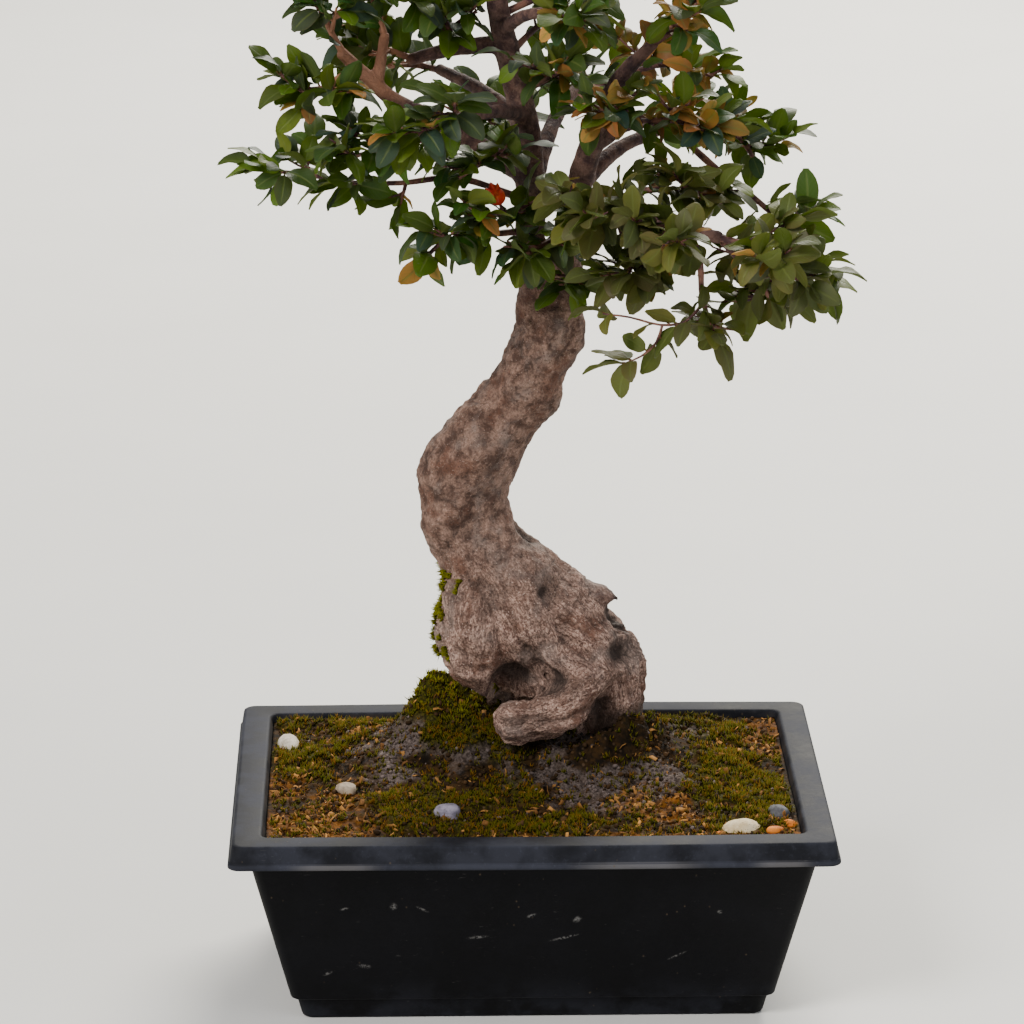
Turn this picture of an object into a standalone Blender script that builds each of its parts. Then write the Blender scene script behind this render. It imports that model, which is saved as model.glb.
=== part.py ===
"""Pomegranate bonsai in a small rectangular plastic training pot.

Lengths below are in millimetres and are scaled to metres when a mesh is made.
+Z is up, +X runs along the pot's long side and -Y faces the viewer.
The origin is the centre of the pot's underside, on the surface that it stands on.

The pieces are the pot, the soil, five stones on the soil, the woody plant (roots, trunk
and limbs, grown as one piece), its leafy sprays and one flower bud.
"""

import math
from collections import namedtuple

import bmesh
import bpy
import numpy as np
from mathutils import Matrix, Vector

MM = 0.001
UP = np.array([0.0, 0.0, 1.0])

# Pot: a tapered tray with a flat rim, a skirt round the rim and a low foot
RIM_HALF = (50.0, 36.0)
POT_HEIGHT = 35.0
RIM_WIDTH = 4.8
SKIRT_HEIGHT = 4.0
SKIRT_FLARE = 0.8
SKIRT_WALL = 1.4
RIM_THICKNESS = 1.6
BODY_TOP_INSET = 2.7
BODY_BASE_INSET = 9.2
FOOT_HEIGHT = 4.0
FOOT_STEP = 0.9
FOOT_OVERLAP = 1.0
FLOOR = 2.6
POT_CORNER = 1.8
RIM_CORNER = 1.6
INNER_CORNER = 1.5
CORNER_SEGMENTS = 3
DRAIN_RADIUS = 2.2
DRAIN_SIDES = 8
DRAIN_X = (-25.0, 0.0, 25.0)
DRAIN_Y = (-11.0, 11.0)
CUT_OVERRUN = 2.0

# Gap between pieces that touch
GAP = 0.3

# Soil: height at the wall, and a mound round the trunk (x, y, height, spread in x, spread in y)
SOIL_EDGE_Z = 33.7
SOIL_EDGE_BAND = 9.0
MOUNDS = (
    (2.0, 10.0, 7.6, 26.0, 16.0),
    (-17.5, 13.0, 6.0, 5.0, 6.5),
    (-26.0, 4.0, 1.2, 9.0, 9.0),
    (30.0, -2.0, 1.0, 10.0, 9.0),
)
SOIL_CELLS = (14, 10)
SOIL_RIPPLE = 0.45

# Stones half sunk in the soil: name, x, y, half sizes, turn in degrees
STONES = (
    ("stone_round", -14.2, -20.0, (2.5, 2.3, 1.8), 10.0),
    ("stone_white", -41.6, 15.5, (1.7, 3.0, 1.3), 12.0),
    ("stone_pale", -31.4, -8.4, (2.0, 1.6, 1.2), -20.0),
    ("stone_cream", 35.0, -26.4, (3.4, 2.1, 1.6), 8.0),
    ("stone_grey", 41.4, -19.0, (1.9, 2.3, 1.4), 30.0),
)
STONE_SUNK = 0.35

# Wood: each run is a list of (x, y, z, radius) along its centre line
TRUNK = (
    (8.0, 14.0, 30.0, 6.5),
    (8.0, 14.0, 40.0, 8.0),
    (6.5, 13.5, 49.0, 8.8),
    (1.0, 10.5, 57.0, 10.6),
    (-4.0, 9.5, 66.0, 9.8),
    (-8.3, 9.0, 73.0, 8.2),
    (-11.5, 8.7, 79.0, 7.4),
    (-11.4, 8.3, 85.0, 7.2),
    (-9.8, 8.0, 89.0, 6.9),
    (-6.6, 7.5, 93.5, 6.7),
    (-3.0, 7.0, 98.0, 6.2),
    (-1.0, 6.4, 102.0, 5.9),
    (0.4, 5.8, 106.0, 5.7),
    (2.6, 5.3, 110.0, 5.7),
    (3.7, 5.0, 114.0, 5.2),
    (3.8, 4.8, 117.0, 4.4),
)
LOBES = {
    "right_mass": (
        (-3.0, 9.0, 64.5, 7.8),
        (3.6, 8.5, 60.6, 7.8),
        (9.2, 8.5, 56.5, 7.8),
        (12.2, 8.5, 50.5, 7.4),
        (12.5, 9.0, 44.0, 7.0),
        (12.5, 10.0, 32.0, 6.0),
    ),
    "left_lobe": (
        (-7.4, 8.5, 68.0, 7.6),
        (-8.4, 7.0, 62.0, 7.2),
        (-8.9, 6.0, 56.0, 6.1),
        (-8.4, 5.0, 51.4, 4.2),
        (-7.6, 4.4, 47.6, 1.6),
    ),
    "front_root": (
        (11.5, 6.0, 50.5, 5.2),
        (8.4, 2.6, 48.2, 4.6),
        (4.0, 0.2, 46.0, 4.2),
        (-0.4, -1.2, 44.8, 4.2),
        (-3.8, -1.2, 44.2, 3.4),
    ),
    "ridge_root": (
        (2.0, 5.0, 58.0, 4.6),
        (5.0, 2.4, 54.0, 3.4),
        (9.0, 1.6, 51.4, 2.8),
    ),
    "spur": ((9.5, 8.5, 60.4, 2.6), (15.3, 8.8, 63.7, 0.7)),
    "burl": ((4.6, 5.0, 110.2, 3.2), (7.6, 5.0, 109.6, 2.7)),
    "knot": ((-8.4, 7.6, 93.4, 3.6), (-11.4, 7.4, 92.2, 2.3)),
    "back_left_root": ((0.0, 16.0, 46.0, 4.6), (-6.0, 21.0, 40.0, 3.2), (-10.0, 24.5, 34.0, 2.2)),
    "back_right_root": ((9.0, 17.0, 46.0, 5.0), (13.0, 22.5, 40.0, 3.2), (16.5, 25.5, 34.0, 2.2)),
}
LIMBS = {
    "leader": (
        (1.6, 4.8, 111.0, 4.0),
        (0.5, 4.4, 118.0, 2.8),
        (0.1, 4.0, 126.0, 2.5),
        (0.1, 3.5, 134.8, 2.5),
        (-0.2, 3.0, 143.5, 2.4),
        (-1.5, 3.0, 151.9, 2.3),
        (-3.7, 2.5, 160.4, 2.1),
        (-5.4, 2.0, 168.9, 1.8),
        (-5.5, 1.5, 177.0, 1.5),
        (-4.2, 1.0, 185.0, 1.2),
        (-3.0, 0.5, 191.0, 0.95),
    ),
    "right_stem": (
        (4.6, 5.0, 110.0, 4.6),
        (5.2, 4.9, 115.5, 3.9),
        (5.7, 4.5, 121.0, 3.2),
        (5.9, 4.0, 126.0, 2.8),
        (6.9, 3.0, 131.5, 2.5),
        (8.1, 2.0, 136.9, 2.3),
        (10.3, 1.0, 145.5, 1.9),
        (11.9, 0.0, 151.2, 1.6),
        (15.6, -2.0, 157.6, 1.3),
        (20.4, -3.0, 162.8, 1.0),
    ),
    "left_limb": (
        (0.0, 3.2, 139.0, 2.0),
        (-7.4, 2.0, 143.7, 1.75),
        (-14.8, 0.0, 148.9, 1.55),
        (-22.2, -2.0, 152.9, 1.35),
        (-26.6, -3.0, 157.0, 1.2),
        (-31.1, -4.0, 161.5, 1.0),
    ),
    "left_fork": ((-25.2, -2.6, 155.6, 1.1), (-24.4, -1.6, 160.2, 0.95), (-23.8, -1.0, 164.0, 0.85)),
    "high_left_limb": ((-4.0, 2.6, 161.6, 1.6), (-12.3, 4.0, 160.5, 1.3), (-20.0, 5.0, 158.3, 1.0)),
    "pad_limb": (
        (7.2, 3.0, 132.4, 2.2),
        (10.0, -4.0, 135.5, 1.9),
        (14.5, -13.0, 137.0, 1.6),
        (20.5, -22.0, 137.0, 1.35),
        (29.8, -28.0, 135.8, 1.05),
    ),
    "right_limb": (
        (10.0, 1.2, 144.6, 1.8),
        (17.0, 3.0, 148.1, 1.4),
        (24.5, 5.5, 146.8, 1.15),
        (29.0, 6.5, 145.2, 0.95),
    ),
    "back_limb": (
        (0.2, 3.4, 137.0, 1.9),
        (3.0, 12.0, 143.0, 1.5),
        (6.0, 21.0, 147.0, 1.2),
        (9.0, 28.0, 149.0, 0.95),
    ),
    "back_left_limb": ((-0.8, 3.0, 148.0, 1.6), (-8.0, 11.0, 152.0, 1.3), (-15.0, 19.0, 154.0, 1.0)),
    "back_right_limb": ((8.4, 2.0, 138.0, 1.7), (15.0, 10.0, 142.0, 1.3), (22.0, 17.0, 143.5, 1.0)),
    "top_left_limb": ((-5.4, 2.0, 169.6, 1.4), (-12.0, 1.0, 175.0, 1.15), (-18.0, 0.0, 178.0, 0.9)),
    "top_right_limb": ((-5.4, 1.7, 173.5, 1.3), (2.0, 1.0, 178.0, 1.05), (9.0, 0.0, 181.0, 0.85)),
    "front_limb": ((-1.0, 3.0, 149.5, 1.5), (-5.0, -6.0, 152.0, 1.2), (-10.0, -14.0, 153.0, 0.95)),
    "top_front_limb": ((-4.5, 2.3, 164.0, 1.3), (-1.0, -7.0, 168.0, 1.05), (3.0, -14.0, 170.0, 0.85)),
    "top_back_limb": ((-5.4, 2.0, 170.5, 1.3), (-4.0, 10.0, 175.0, 1.05), (-2.0, 17.0, 177.0, 0.85)),
}
# Hollows pressed into the bark: x, y, z, radius, depth
HOLLOWS = (
    (16.2, 2.6, 54.8, 2.3, 2.2),
    (3.3, 1.0, 64.7, 1.9, 1.3),
    (2.0, -2.4, 50.0, 2.4, 1.6),
    (-1.6, 2.0, 49.6, 3.4, 2.4),
    (-6.0, 1.5, 84.0, 2.2, 0.9),
    (2.4, -0.6, 117.5, 1.7, 1.2),
)
ROOTS_END_Z = 33.0
WOOD_VOXEL = 0.55
WOOD_LUMP_SIZE = 7.0
WOOD_LUMP_HEIGHT = 1.3
# Lumps fade out upwards over this many millimetres, down to none at this height
WOOD_LUMP_FADE = 12.0
WOOD_LUMPS_END_Z = 128.0
WOOD_TRIANGLES = 1950
TUBE_STEP = 2.2

# Leafy sprays: the stem's points, leaves in the solid, side shoots, their reach, bare share of the stem
Spray = namedtuple("Spray", "stem leaves shoots reach bare")
SPRAYS = {
    "spray_low_left": Spray(
        ((-0.2, 3.8, 129.5), (-8.3, -4.0, 130.6), (-14.1, -6.0, 130.2), (-17.6, -7.0, 127.4)),
        leaves=6,
        shoots=1,
        reach=5.5,
        bare=0.4,
    ),
    "spray_left_reach": Spray(
        (
            (0.0, 3.5, 134.6), (-11.6, -2.0, 139.8), (-21.5, -4.2, 139.6),
            (-30.5, -5.2, 140.0), (-37.0, -6.0, 141.6), (-43.5, -7.0, 142.4),
        ),
        leaves=9,
        shoots=3,
        reach=8.0,
        bare=0.62,
    ),
    "spray_left_cluster": Spray(
        ((-15.0, 0.0, 149.0), (-18.0, -5.0, 147.2), (-24.0, -9.0, 146.4), (-31.0, -10.0, 145.0)),
        leaves=10,
        shoots=3,
        reach=9.0,
        bare=0.2,
    ),
    "spray_left_fork": Spray(
        ((-28.4, -3.4, 158.8), (-32.0, -6.5, 157.4), (-35.0, -8.5, 155.4), (-37.5, -9.5, 153.4)),
        leaves=8,
        shoots=2,
        reach=8.0,
        bare=0.2,
    ),
    "spray_left_tip": Spray(
        ((-30.4, -3.8, 160.8), (-33.0, -5.0, 166.0), (-34.5, -6.0, 171.0)),
        leaves=7,
        shoots=2,
        reach=7.5,
        bare=0.2,
    ),
    "spray_left_rise": Spray(
        ((-23.8, -1.0, 163.2), (-25.5, -0.5, 168.5), (-28.5, 0.0, 173.5)),
        leaves=7,
        shoots=2,
        reach=8.0,
        bare=0.15,
    ),
    "spray_high_left": Spray(
        ((-19.2, 4.9, 158.5), (-24.5, 6.0, 160.2), (-30.0, 8.0, 160.6)),
        leaves=8,
        shoots=2,
        reach=8.0,
        bare=0.1,
    ),
    "spray_high_inner": Spray(
        ((-12.3, 4.0, 160.4), (-13.5, 0.5, 165.0), (-15.5, -3.5, 168.5)),
        leaves=7,
        shoots=2,
        reach=8.0,
        bare=0.2,
    ),
    "spray_centre_low": Spray(
        ((0.1, 3.6, 133.0), (-3.0, -4.0, 134.6), (-6.5, -9.0, 135.0), (-10.0, -12.5, 134.2)),
        leaves=8,
        shoots=3,
        reach=8.0,
        bare=0.3,
    ),
    "spray_centre_left": Spray(
        ((-6.4, 2.2, 143.0), (-7.0, -4.0, 143.4), (-9.0, -9.5, 143.6), (-12.0, -14.0, 142.6)),
        leaves=8,
        shoots=2,
        reach=7.5,
        bare=0.25,
    ),
    "spray_centre_front": Spray(
        ((6.4, 3.4, 129.0), (5.0, -3.6, 130.6), (2.5, -8.6, 130.4), (-1.0, -12.0, 129.2)),
        leaves=9,
        shoots=2,
        reach=7.5,
        bare=0.3,
    ),
    "spray_trunk_face": Spray(
        ((5.6, 4.4, 122.2), (6.4, -1.2, 123.2), (6.8, -4.2, 121.6)),
        leaves=3,
        shoots=0,
        reach=4.0,
        bare=0.6,
    ),
    "spray_front": Spray(
        ((-9.3, -12.8, 152.9), (-14.0, -19.0, 153.4), (-18.5, -24.0, 152.0)),
        leaves=8,
        shoots=2,
        reach=9.0,
        bare=0.15,
    ),
    "spray_leader": Spray(
        ((-1.5, 3.0, 152.6), (1.6, -2.6, 156.0), (4.2, -7.4, 158.6)),
        leaves=6,
        shoots=2,
        reach=7.5,
        bare=0.3,
    ),
    "spray_pad_near": Spray(
        ((15.6, -14.8, 137.0), (12.2, -20.0, 138.4), (7.5, -25.0, 138.2)),
        leaves=10,
        shoots=3,
        reach=9.0,
        bare=0.15,
    ),
    "spray_pad_front": Spray(
        ((21.0, -22.4, 137.0), (21.6, -28.5, 138.0), (20.0, -34.0, 137.0)),
        leaves=10,
        shoots=3,
        reach=9.0,
        bare=0.15,
    ),
    "spray_pad_end": Spray(
        ((29.0, -27.6, 135.9), (35.0, -30.0, 134.6), (40.0, -31.0, 131.6), (43.0, -31.0, 128.6)),
        leaves=11,
        shoots=3,
        reach=9.0,
        bare=0.1,
    ),
    "spray_pad_back": Spray(
        ((12.0, -8.2, 136.2), (18.0, -9.5, 139.2), (25.0, -13.0, 140.2), (31.0, -16.0, 138.8)),
        leaves=11,
        shoots=3,
        reach=9.0,
        bare=0.2,
    ),
    "spray_pad_low": Spray(
        ((14.0, -12.2, 136.4), (15.0, -15.0, 132.4), (17.0, -17.5, 128.8), (20.0, -19.5, 126.2)),
        leaves=9,
        shoots=3,
        reach=8.0,
        bare=0.25,
    ),
    "spray_pad_low_end": Spray(
        ((30.4, -27.6, 135.0), (34.0, -24.5, 130.6), (37.0, -22.0, 126.6), (38.6, -20.0, 123.6)),
        leaves=9,
        shoots=3,
        reach=8.0,
        bare=0.25,
    ),
    "spray_pad_hanging": Spray(
        ((25.0, -25.2, 136.6), (26.8, -25.5, 131.0), (27.3, -25.0, 125.0), (29.4, -25.0, 118.6)),
        leaves=5,
        shoots=1,
        reach=8.0,
        bare=0.7,
    ),
    "spray_right_low": Spray(
        (
            (23.5, 5.2, 147.0), (30.0, 0.0, 141.6), (37.5, -7.0, 136.8),
            (43.5, -10.0, 131.4), (48.4, -10.0, 123.0),
        ),
        leaves=7,
        shoots=2,
        reach=7.0,
        bare=0.5,
    ),
    "spray_right_mid": Spray(
        ((18.4, 3.0, 148.1), (20.5, -3.0, 149.6), (24.0, -8.0, 150.6), (28.0, -12.0, 150.0)),
        leaves=9,
        shoots=3,
        reach=8.0,
        bare=0.2,
    ),
    "spray_right_end": Spray(
        ((28.2, 6.4, 145.5), (32.0, 5.5, 146.2), (35.0, 3.5, 145.2), (37.0, 1.0, 142.6)),
        leaves=8,
        shoots=2,
        reach=8.0,
        bare=0.1,
    ),
    "spray_right_upper": Spray(
        ((19.7, -2.9, 162.2), (23.0, -4.5, 164.6), (26.0, -6.5, 165.6)),
        leaves=8,
        shoots=2,
        reach=7.5,
        bare=0.1,
    ),
    "spray_right_high": Spray(
        ((14.0, -1.2, 155.0), (18.5, 3.0, 157.0), (23.5, 6.5, 157.0), (28.0, 8.5, 155.4)),
        leaves=9,
        shoots=2,
        reach=8.0,
        bare=0.2,
    ),
    "spray_right_inner": Spray(
        ((11.8, 0.0, 151.0), (13.2, -7.0, 152.4), (15.4, -13.5, 153.4)),
        leaves=8,
        shoots=2,
        reach=8.0,
        bare=0.3,
    ),
    "spray_apex": Spray(
        ((-3.2, 0.6, 190.2), (-2.5, 0.0, 195.0)),
        leaves=6,
        shoots=2,
        reach=6.5,
        bare=0.1,
    ),
    "spray_apex_front": Spray(
        ((-4.3, 1.0, 184.4), (-8.4, -4.0, 186.8), (-12.0, -8.0, 187.0)),
        leaves=7,
        shoots=1,
        reach=7.5,
        bare=0.2,
    ),
    "spray_apex_back": Spray(
        ((-4.6, 1.1, 182.6), (-0.5, 6.5, 186.6), (3.0, 10.5, 187.6)),
        leaves=7,
        shoots=1,
        reach=7.5,
        bare=0.2,
    ),
    "spray_top_left": Spray(
        ((-17.3, 0.1, 177.7), (-22.0, -1.0, 180.4), (-26.5, -1.5, 181.0)),
        leaves=8,
        shoots=2,
        reach=8.5,
        bare=0.1,
    ),
    "spray_top_right": Spray(
        ((8.2, 0.1, 180.7), (13.5, -1.0, 182.4), (18.5, -2.0, 181.6)),
        leaves=8,
        shoots=2,
        reach=8.5,
        bare=0.1,
    ),
    "spray_top_side": Spray(
        ((-4.9, 2.2, 166.4), (3.0, 4.2, 169.4), (12.0, 4.0, 171.8), (20.0, 2.5, 171.4)),
        leaves=9,
        shoots=3,
        reach=9.0,
        bare=0.35,
    ),
    "spray_top_front": Spray(
        ((2.6, -13.2, 169.8), (5.2, -18.5, 170.6), (8.0, -23.0, 169.2)),
        leaves=8,
        shoots=2,
        reach=8.5,
        bare=0.1,
    ),
    "spray_top_back": Spray(
        ((-2.1, 16.2, 176.8), (0.0, 21.0, 177.6), (2.5, 25.5, 176.4)),
        leaves=8,
        shoots=2,
        reach=8.5,
        bare=0.1,
    ),
    "spray_back_end": Spray(
        ((8.7, 27.2, 148.8), (11.0, 32.0, 149.0), (13.0, 36.5, 147.4)),
        leaves=8,
        shoots=2,
        reach=9.0,
        bare=0.1,
    ),
    "spray_back_mid": Spray(
        ((3.0, 12.0, 143.0), (-3.0, 18.0, 144.0), (-8.5, 24.0, 143.6)),
        leaves=8,
        shoots=2,
        reach=9.0,
        bare=0.25,
    ),
    "spray_back_left": Spray(
        ((-14.4, 18.3, 153.8), (-20.0, 23.0, 154.0), (-25.5, 26.5, 152.4)),
        leaves=8,
        shoots=2,
        reach=9.0,
        bare=0.1,
    ),
    "spray_back_right": Spray(
        ((21.4, 16.4, 143.4), (27.0, 20.5, 143.2), (32.5, 24.0, 141.4)),
        leaves=8,
        shoots=2,
        reach=9.0,
        bare=0.1,
    ),
    "spray_back_high": Spray(
        ((-3.6, 2.5, 159.4), (1.0, 10.0, 162.4), (6.0, 17.0, 164.4), (10.5, 23.0, 164.0)),
        leaves=8,
        shoots=2,
        reach=9.0,
        bare=0.3,
    ),
}
STEM_RADIUS = (0.85, 0.62)
SHOOT_RADIUS = (0.64, 0.58)
STEM_STEP = 8.0
SHOOT_SIDES = 4
SHOOT_TURN = (38.0, 68.0)
SHOOT_LIFT = (-12.0, 38.0)
SHOOT_LAST = 0.94
SHOOT_LENGTHS = (0.8, 1.1)
SHOOT_BEND = 0.10
SHOOT_BARE = 0.25
SHOOT_CLEARANCE = 3.4
SHOOT_WOOD_CLEARANCE = 1.2
SHOOT_TRIES = 12
SHOOT_SEED = 100
LEAF_NODE_SPACING = 3.4
LEAF_TIP_STEP = 1.3
LEAF_SPREAD = 58.0
LEAF_TURNS = (75.0, 10.0)
LEAF_TURN_PLAY = 35.0
LEAF_SPREAD_PLAY = 14.0
TIP_LEAVES = ((0.0, 6.0), (0.0, 74.0), (180.0, 74.0))
LEAF_LENGTHS = (7.2, 8.4, 9.6)
LEAF_WIDTH_SHARE = 0.54
LEAF_TRIES = 4
LEAF_SEED = 500
LEAF_THICKNESS = 0.62
LEAF_ARCH = 0.10
LEAF_CELL_MARGIN = 1.1
LEAF_WOOD_CLEARANCE = 0.8
LEAF_APART = 1.5
# Blade outline from stalk to tip: share of the length, share of the half width
LEAF_OUTLINE = ((0.0, 0.0), (0.55, 1.0), (1.0, 0.42))
# Places on a blade that must be clear of others: share of the length, share of the half width
LEAF_MARKS = ((0.3, 0.7), (0.55, 0.9), (0.8, 0.7))
LEAF_TIP_MARK = 1.03

# Short shoots that hang off one stem, besides the ones that the rule grows
HANGING_SHOOTS = {"spray_left_reach": ((-20.5, -4.1, 139.7), (-21.4, -5.6, 136.4))}
# Flower bud: its seat on a stalk of this spray, the way it points, length and radius
BUD_SPRAY = "spray_centre_low"
BUD_STALK = ((-4.6, -6.6, 134.8), (-5.2, -9.4, 137.6))
BUD_AXIS = (-0.25, -0.75, 0.62)
BUD_LENGTH = 4.4
BUD_RADIUS = 1.35
BUD_CLEARANCE = 3.9
BUD_NARROWING = 0.28

COLOURS = {
    "pot_plastic": ((0.018, 0.018, 0.020), 0.45),
    "soil": ((0.055, 0.038, 0.022), 0.95),
    "bark": ((0.20, 0.125, 0.085), 0.85),
    "leaf": ((0.045, 0.13, 0.030), 0.45),
    "bud": ((0.60, 0.05, 0.02), 0.40),
    "stone": ((0.42, 0.38, 0.36), 0.80),
}


# Helpers


def clear_scene():
    for obj in list(bpy.data.objects):
        bpy.data.objects.remove(obj, do_unlink=True)


def new_collection(name):
    made = bpy.data.collections.new(name)
    bpy.context.scene.collection.children.link(made)
    return made


def material(name):
    """One Principled material for each finish, made once."""
    found = bpy.data.materials.get(name)
    if found:
        return found
    colour, roughness = COLOURS[name]
    made = bpy.data.materials.new(name)
    made.use_nodes = True
    shader = made.node_tree.nodes["Principled BSDF"]
    shader.inputs["Base Color"].default_value = (*colour, 1.0)
    shader.inputs["Roughness"].default_value = roughness
    shader.inputs["Metallic"].default_value = 0.0
    return made


def object_of(mesh, name, collection):
    made = bpy.data.objects.new(name, mesh)
    collection.objects.link(made)
    return made


def mesh_of(bm, name):
    bmesh.ops.recalc_face_normals(bm, faces=bm.faces)
    mesh = bpy.data.meshes.new(name)
    bm.to_mesh(mesh)
    bm.free()
    return mesh


def evaluated_mesh(obj):
    bpy.context.view_layer.update()
    graph = bpy.context.evaluated_depsgraph_get()
    return bpy.data.meshes.new_from_object(obj.evaluated_get(graph))


def applied(obj):
    """The object with its modifiers worked into its mesh."""
    mesh = evaluated_mesh(obj)
    obj.modifiers.clear()
    obj.data = mesh
    return obj


def boolean(obj, other, operation, solver="EXACT"):
    """Joins, cuts or keeps the shared part of obj and other, and applies it."""
    step = obj.modifiers.new(operation.lower(), "BOOLEAN")
    step.operation = operation
    step.solver = solver
    if isinstance(other, bpy.types.Collection):
        step.operand_type = "COLLECTION"
        step.collection = other
    else:
        step.object = other
    return applied(obj)


def remove(*objects):
    for obj in objects:
        bpy.data.objects.remove(obj, do_unlink=True)


def points_of(mesh):
    flat = np.empty(len(mesh.vertices) * 3, np.float32)
    mesh.vertices.foreach_get("co", flat)
    return flat.reshape(-1, 3).astype(float) / MM


def normals_of(mesh):
    flat = np.empty(len(mesh.vertices) * 3, np.float32)
    mesh.vertex_normals.foreach_get("vector", flat)
    return flat.reshape(-1, 3).astype(float)


def set_points(mesh, points):
    mesh.vertices.foreach_set("co", (points * MM).astype(np.float32).ravel())
    mesh.update()


def inflated(obj, by, name, collection):
    """A copy of obj that is thicker by this many millimetres all over."""
    copy = object_of(obj.data.copy(), name, collection)
    step = copy.modifiers.new("thicker", "DISPLACE")
    step.mid_level = 0.0
    step.strength = by * MM
    copy.hide_render = True
    copy.display_type = "WIRE"
    return applied(copy)


def largest_body(obj):
    """Drops loose scraps and keeps the biggest connected body."""
    bm = bmesh.new()
    bm.from_mesh(obj.data)
    unseen = set(bm.verts)
    bodies = []
    while unseen:
        body, edge = set(), [next(iter(unseen))]
        while edge:
            vert = edge.pop()
            if vert in body:
                continue
            body.add(vert)
            edge.extend(e.other_vert(vert) for e in vert.link_edges)
        unseen -= body
        bodies.append(body)
    kept = max(bodies, key=len)
    bmesh.ops.delete(bm, geom=[v for v in bm.verts if v not in kept], context="VERTS")
    bm.to_mesh(obj.data)
    bm.free()


def smooth_path(points, step):
    """A Catmull-Rom curve through the points, about one sample for each step."""
    given = np.asarray(points, float)
    padded = np.vstack([2 * given[0] - given[1], given, 2 * given[-1] - given[-2]])
    runs = []
    for i in range(len(given) - 1):
        a, b, c, d = padded[i : i + 4]
        count = max(1, int(round(np.linalg.norm((c - b)[:3]) / step)))
        t = np.arange(count)[:, None] / count
        squared, cubed = 2 * a - 5 * b + 4 * c - d, 3 * b - a - 3 * c + d
        runs.append(0.5 * (2 * b + (c - a) * t + squared * t**2 + cubed * t**3))
    runs.append(given[-1:])
    return np.vstack(runs)


def unit(vector):
    return vector / np.linalg.norm(vector)


def tube(name, path, sides_level, collection):
    """A round tube with filled caps along (x, y, z, radius) points, as a closed mesh object."""
    curve = bpy.data.curves.new(name, "CURVE")
    curve.dimensions = "3D"
    curve.bevel_depth = MM
    curve.bevel_resolution = sides_level
    curve.use_fill_caps = True
    spline = curve.splines.new("POLY")
    spline.points.add(len(path) - 1)
    for point, (x, y, z, radius) in zip(spline.points, path):
        point.co = (x * MM, y * MM, z * MM, 1.0)
        point.radius = radius
    guide = object_of(curve, name + "_guide", collection)
    mesh = evaluated_mesh(guide)
    bm = bmesh.new()
    bm.from_mesh(mesh)
    bmesh.ops.remove_doubles(bm, verts=bm.verts, dist=0.01 * MM)
    made = object_of(mesh_of(bm, name), name, collection)
    remove(guide)
    return made


# Pot


def tapered_block(name, low, high, corner, collection):
    """A block between two rectangles, each (half x, half y, z), with rounded upright corners."""
    bm = bmesh.new()
    bmesh.ops.create_cube(bm, size=2.0)
    for vert in bm.verts:
        half_x, half_y, z = high if vert.co.z > 0 else low
        vert.co = Vector((vert.co.x * half_x, vert.co.y * half_y, z)) * MM
    upright = [e for e in bm.edges if abs(e.verts[0].co.z - e.verts[1].co.z) > MM]
    bmesh.ops.bevel(
        bm, geom=upright, offset=corner * MM, segments=CORNER_SEGMENTS, profile=0.5, affect="EDGES"
    )
    return object_of(mesh_of(bm, name), name, collection)


def half_at(inset):
    return RIM_HALF[0] - inset, RIM_HALF[1] - inset


def cavity_inset(z):
    """How far the inner wall stands in from the rim's outer edge at this height."""
    slope = (BODY_BASE_INSET - BODY_TOP_INSET) / (POT_HEIGHT - SKIRT_HEIGHT - FOOT_HEIGHT)
    return RIM_WIDTH + slope * (POT_HEIGHT - z)


def make_pot(collection, helpers):
    skirt_z = POT_HEIGHT - SKIRT_HEIGHT
    slope = (BODY_BASE_INSET - BODY_TOP_INSET) / (skirt_z - FOOT_HEIGHT)
    pot = tapered_block(
        "pot", (*half_at(-SKIRT_FLARE), skirt_z), (*RIM_HALF, POT_HEIGHT), RIM_CORNER, collection
    )
    channel = tapered_block(
        "channel",
        (*half_at(SKIRT_WALL - SKIRT_FLARE), skirt_z - CUT_OVERRUN),
        (*half_at(SKIRT_WALL), POT_HEIGHT - RIM_THICKNESS),
        RIM_CORNER - SKIRT_WALL / 2,
        helpers,
    )
    boolean(pot, channel, "DIFFERENCE")
    body_top = POT_HEIGHT - RIM_THICKNESS / 2
    body = tapered_block(
        "body",
        (*half_at(BODY_BASE_INSET), FOOT_HEIGHT),
        (*half_at(BODY_TOP_INSET - slope * (body_top - skirt_z)), body_top),
        POT_CORNER,
        helpers,
    )
    boolean(pot, body, "UNION")
    foot = tapered_block(
        "foot",
        (*half_at(BODY_BASE_INSET + FOOT_STEP + slope * FOOT_HEIGHT), 0.0),
        (*half_at(BODY_BASE_INSET + FOOT_STEP), FOOT_HEIGHT + FOOT_OVERLAP),
        POT_CORNER,
        helpers,
    )
    boolean(pot, foot, "UNION")
    cavity = tapered_block(
        "cavity",
        (*half_at(cavity_inset(FLOOR)), FLOOR),
        (*half_at(cavity_inset(POT_HEIGHT + CUT_OVERRUN)), POT_HEIGHT + CUT_OVERRUN),
        INNER_CORNER,
        helpers,
    )
    boolean(pot, cavity, "DIFFERENCE")
    for x in DRAIN_X:
        for y in DRAIN_Y:
            bpy.ops.mesh.primitive_cylinder_add(
                vertices=DRAIN_SIDES,
                radius=DRAIN_RADIUS * MM,
                depth=4 * FLOOR * MM,
                location=(x * MM, y * MM, 0),
            )
            drain = bpy.context.active_object
            boolean(pot, drain, "DIFFERENCE")
            remove(drain)
    pot.data.materials.clear()
    pot.data.materials.append(material("pot_plastic"))
    return pot


# Soil and stones


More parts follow.
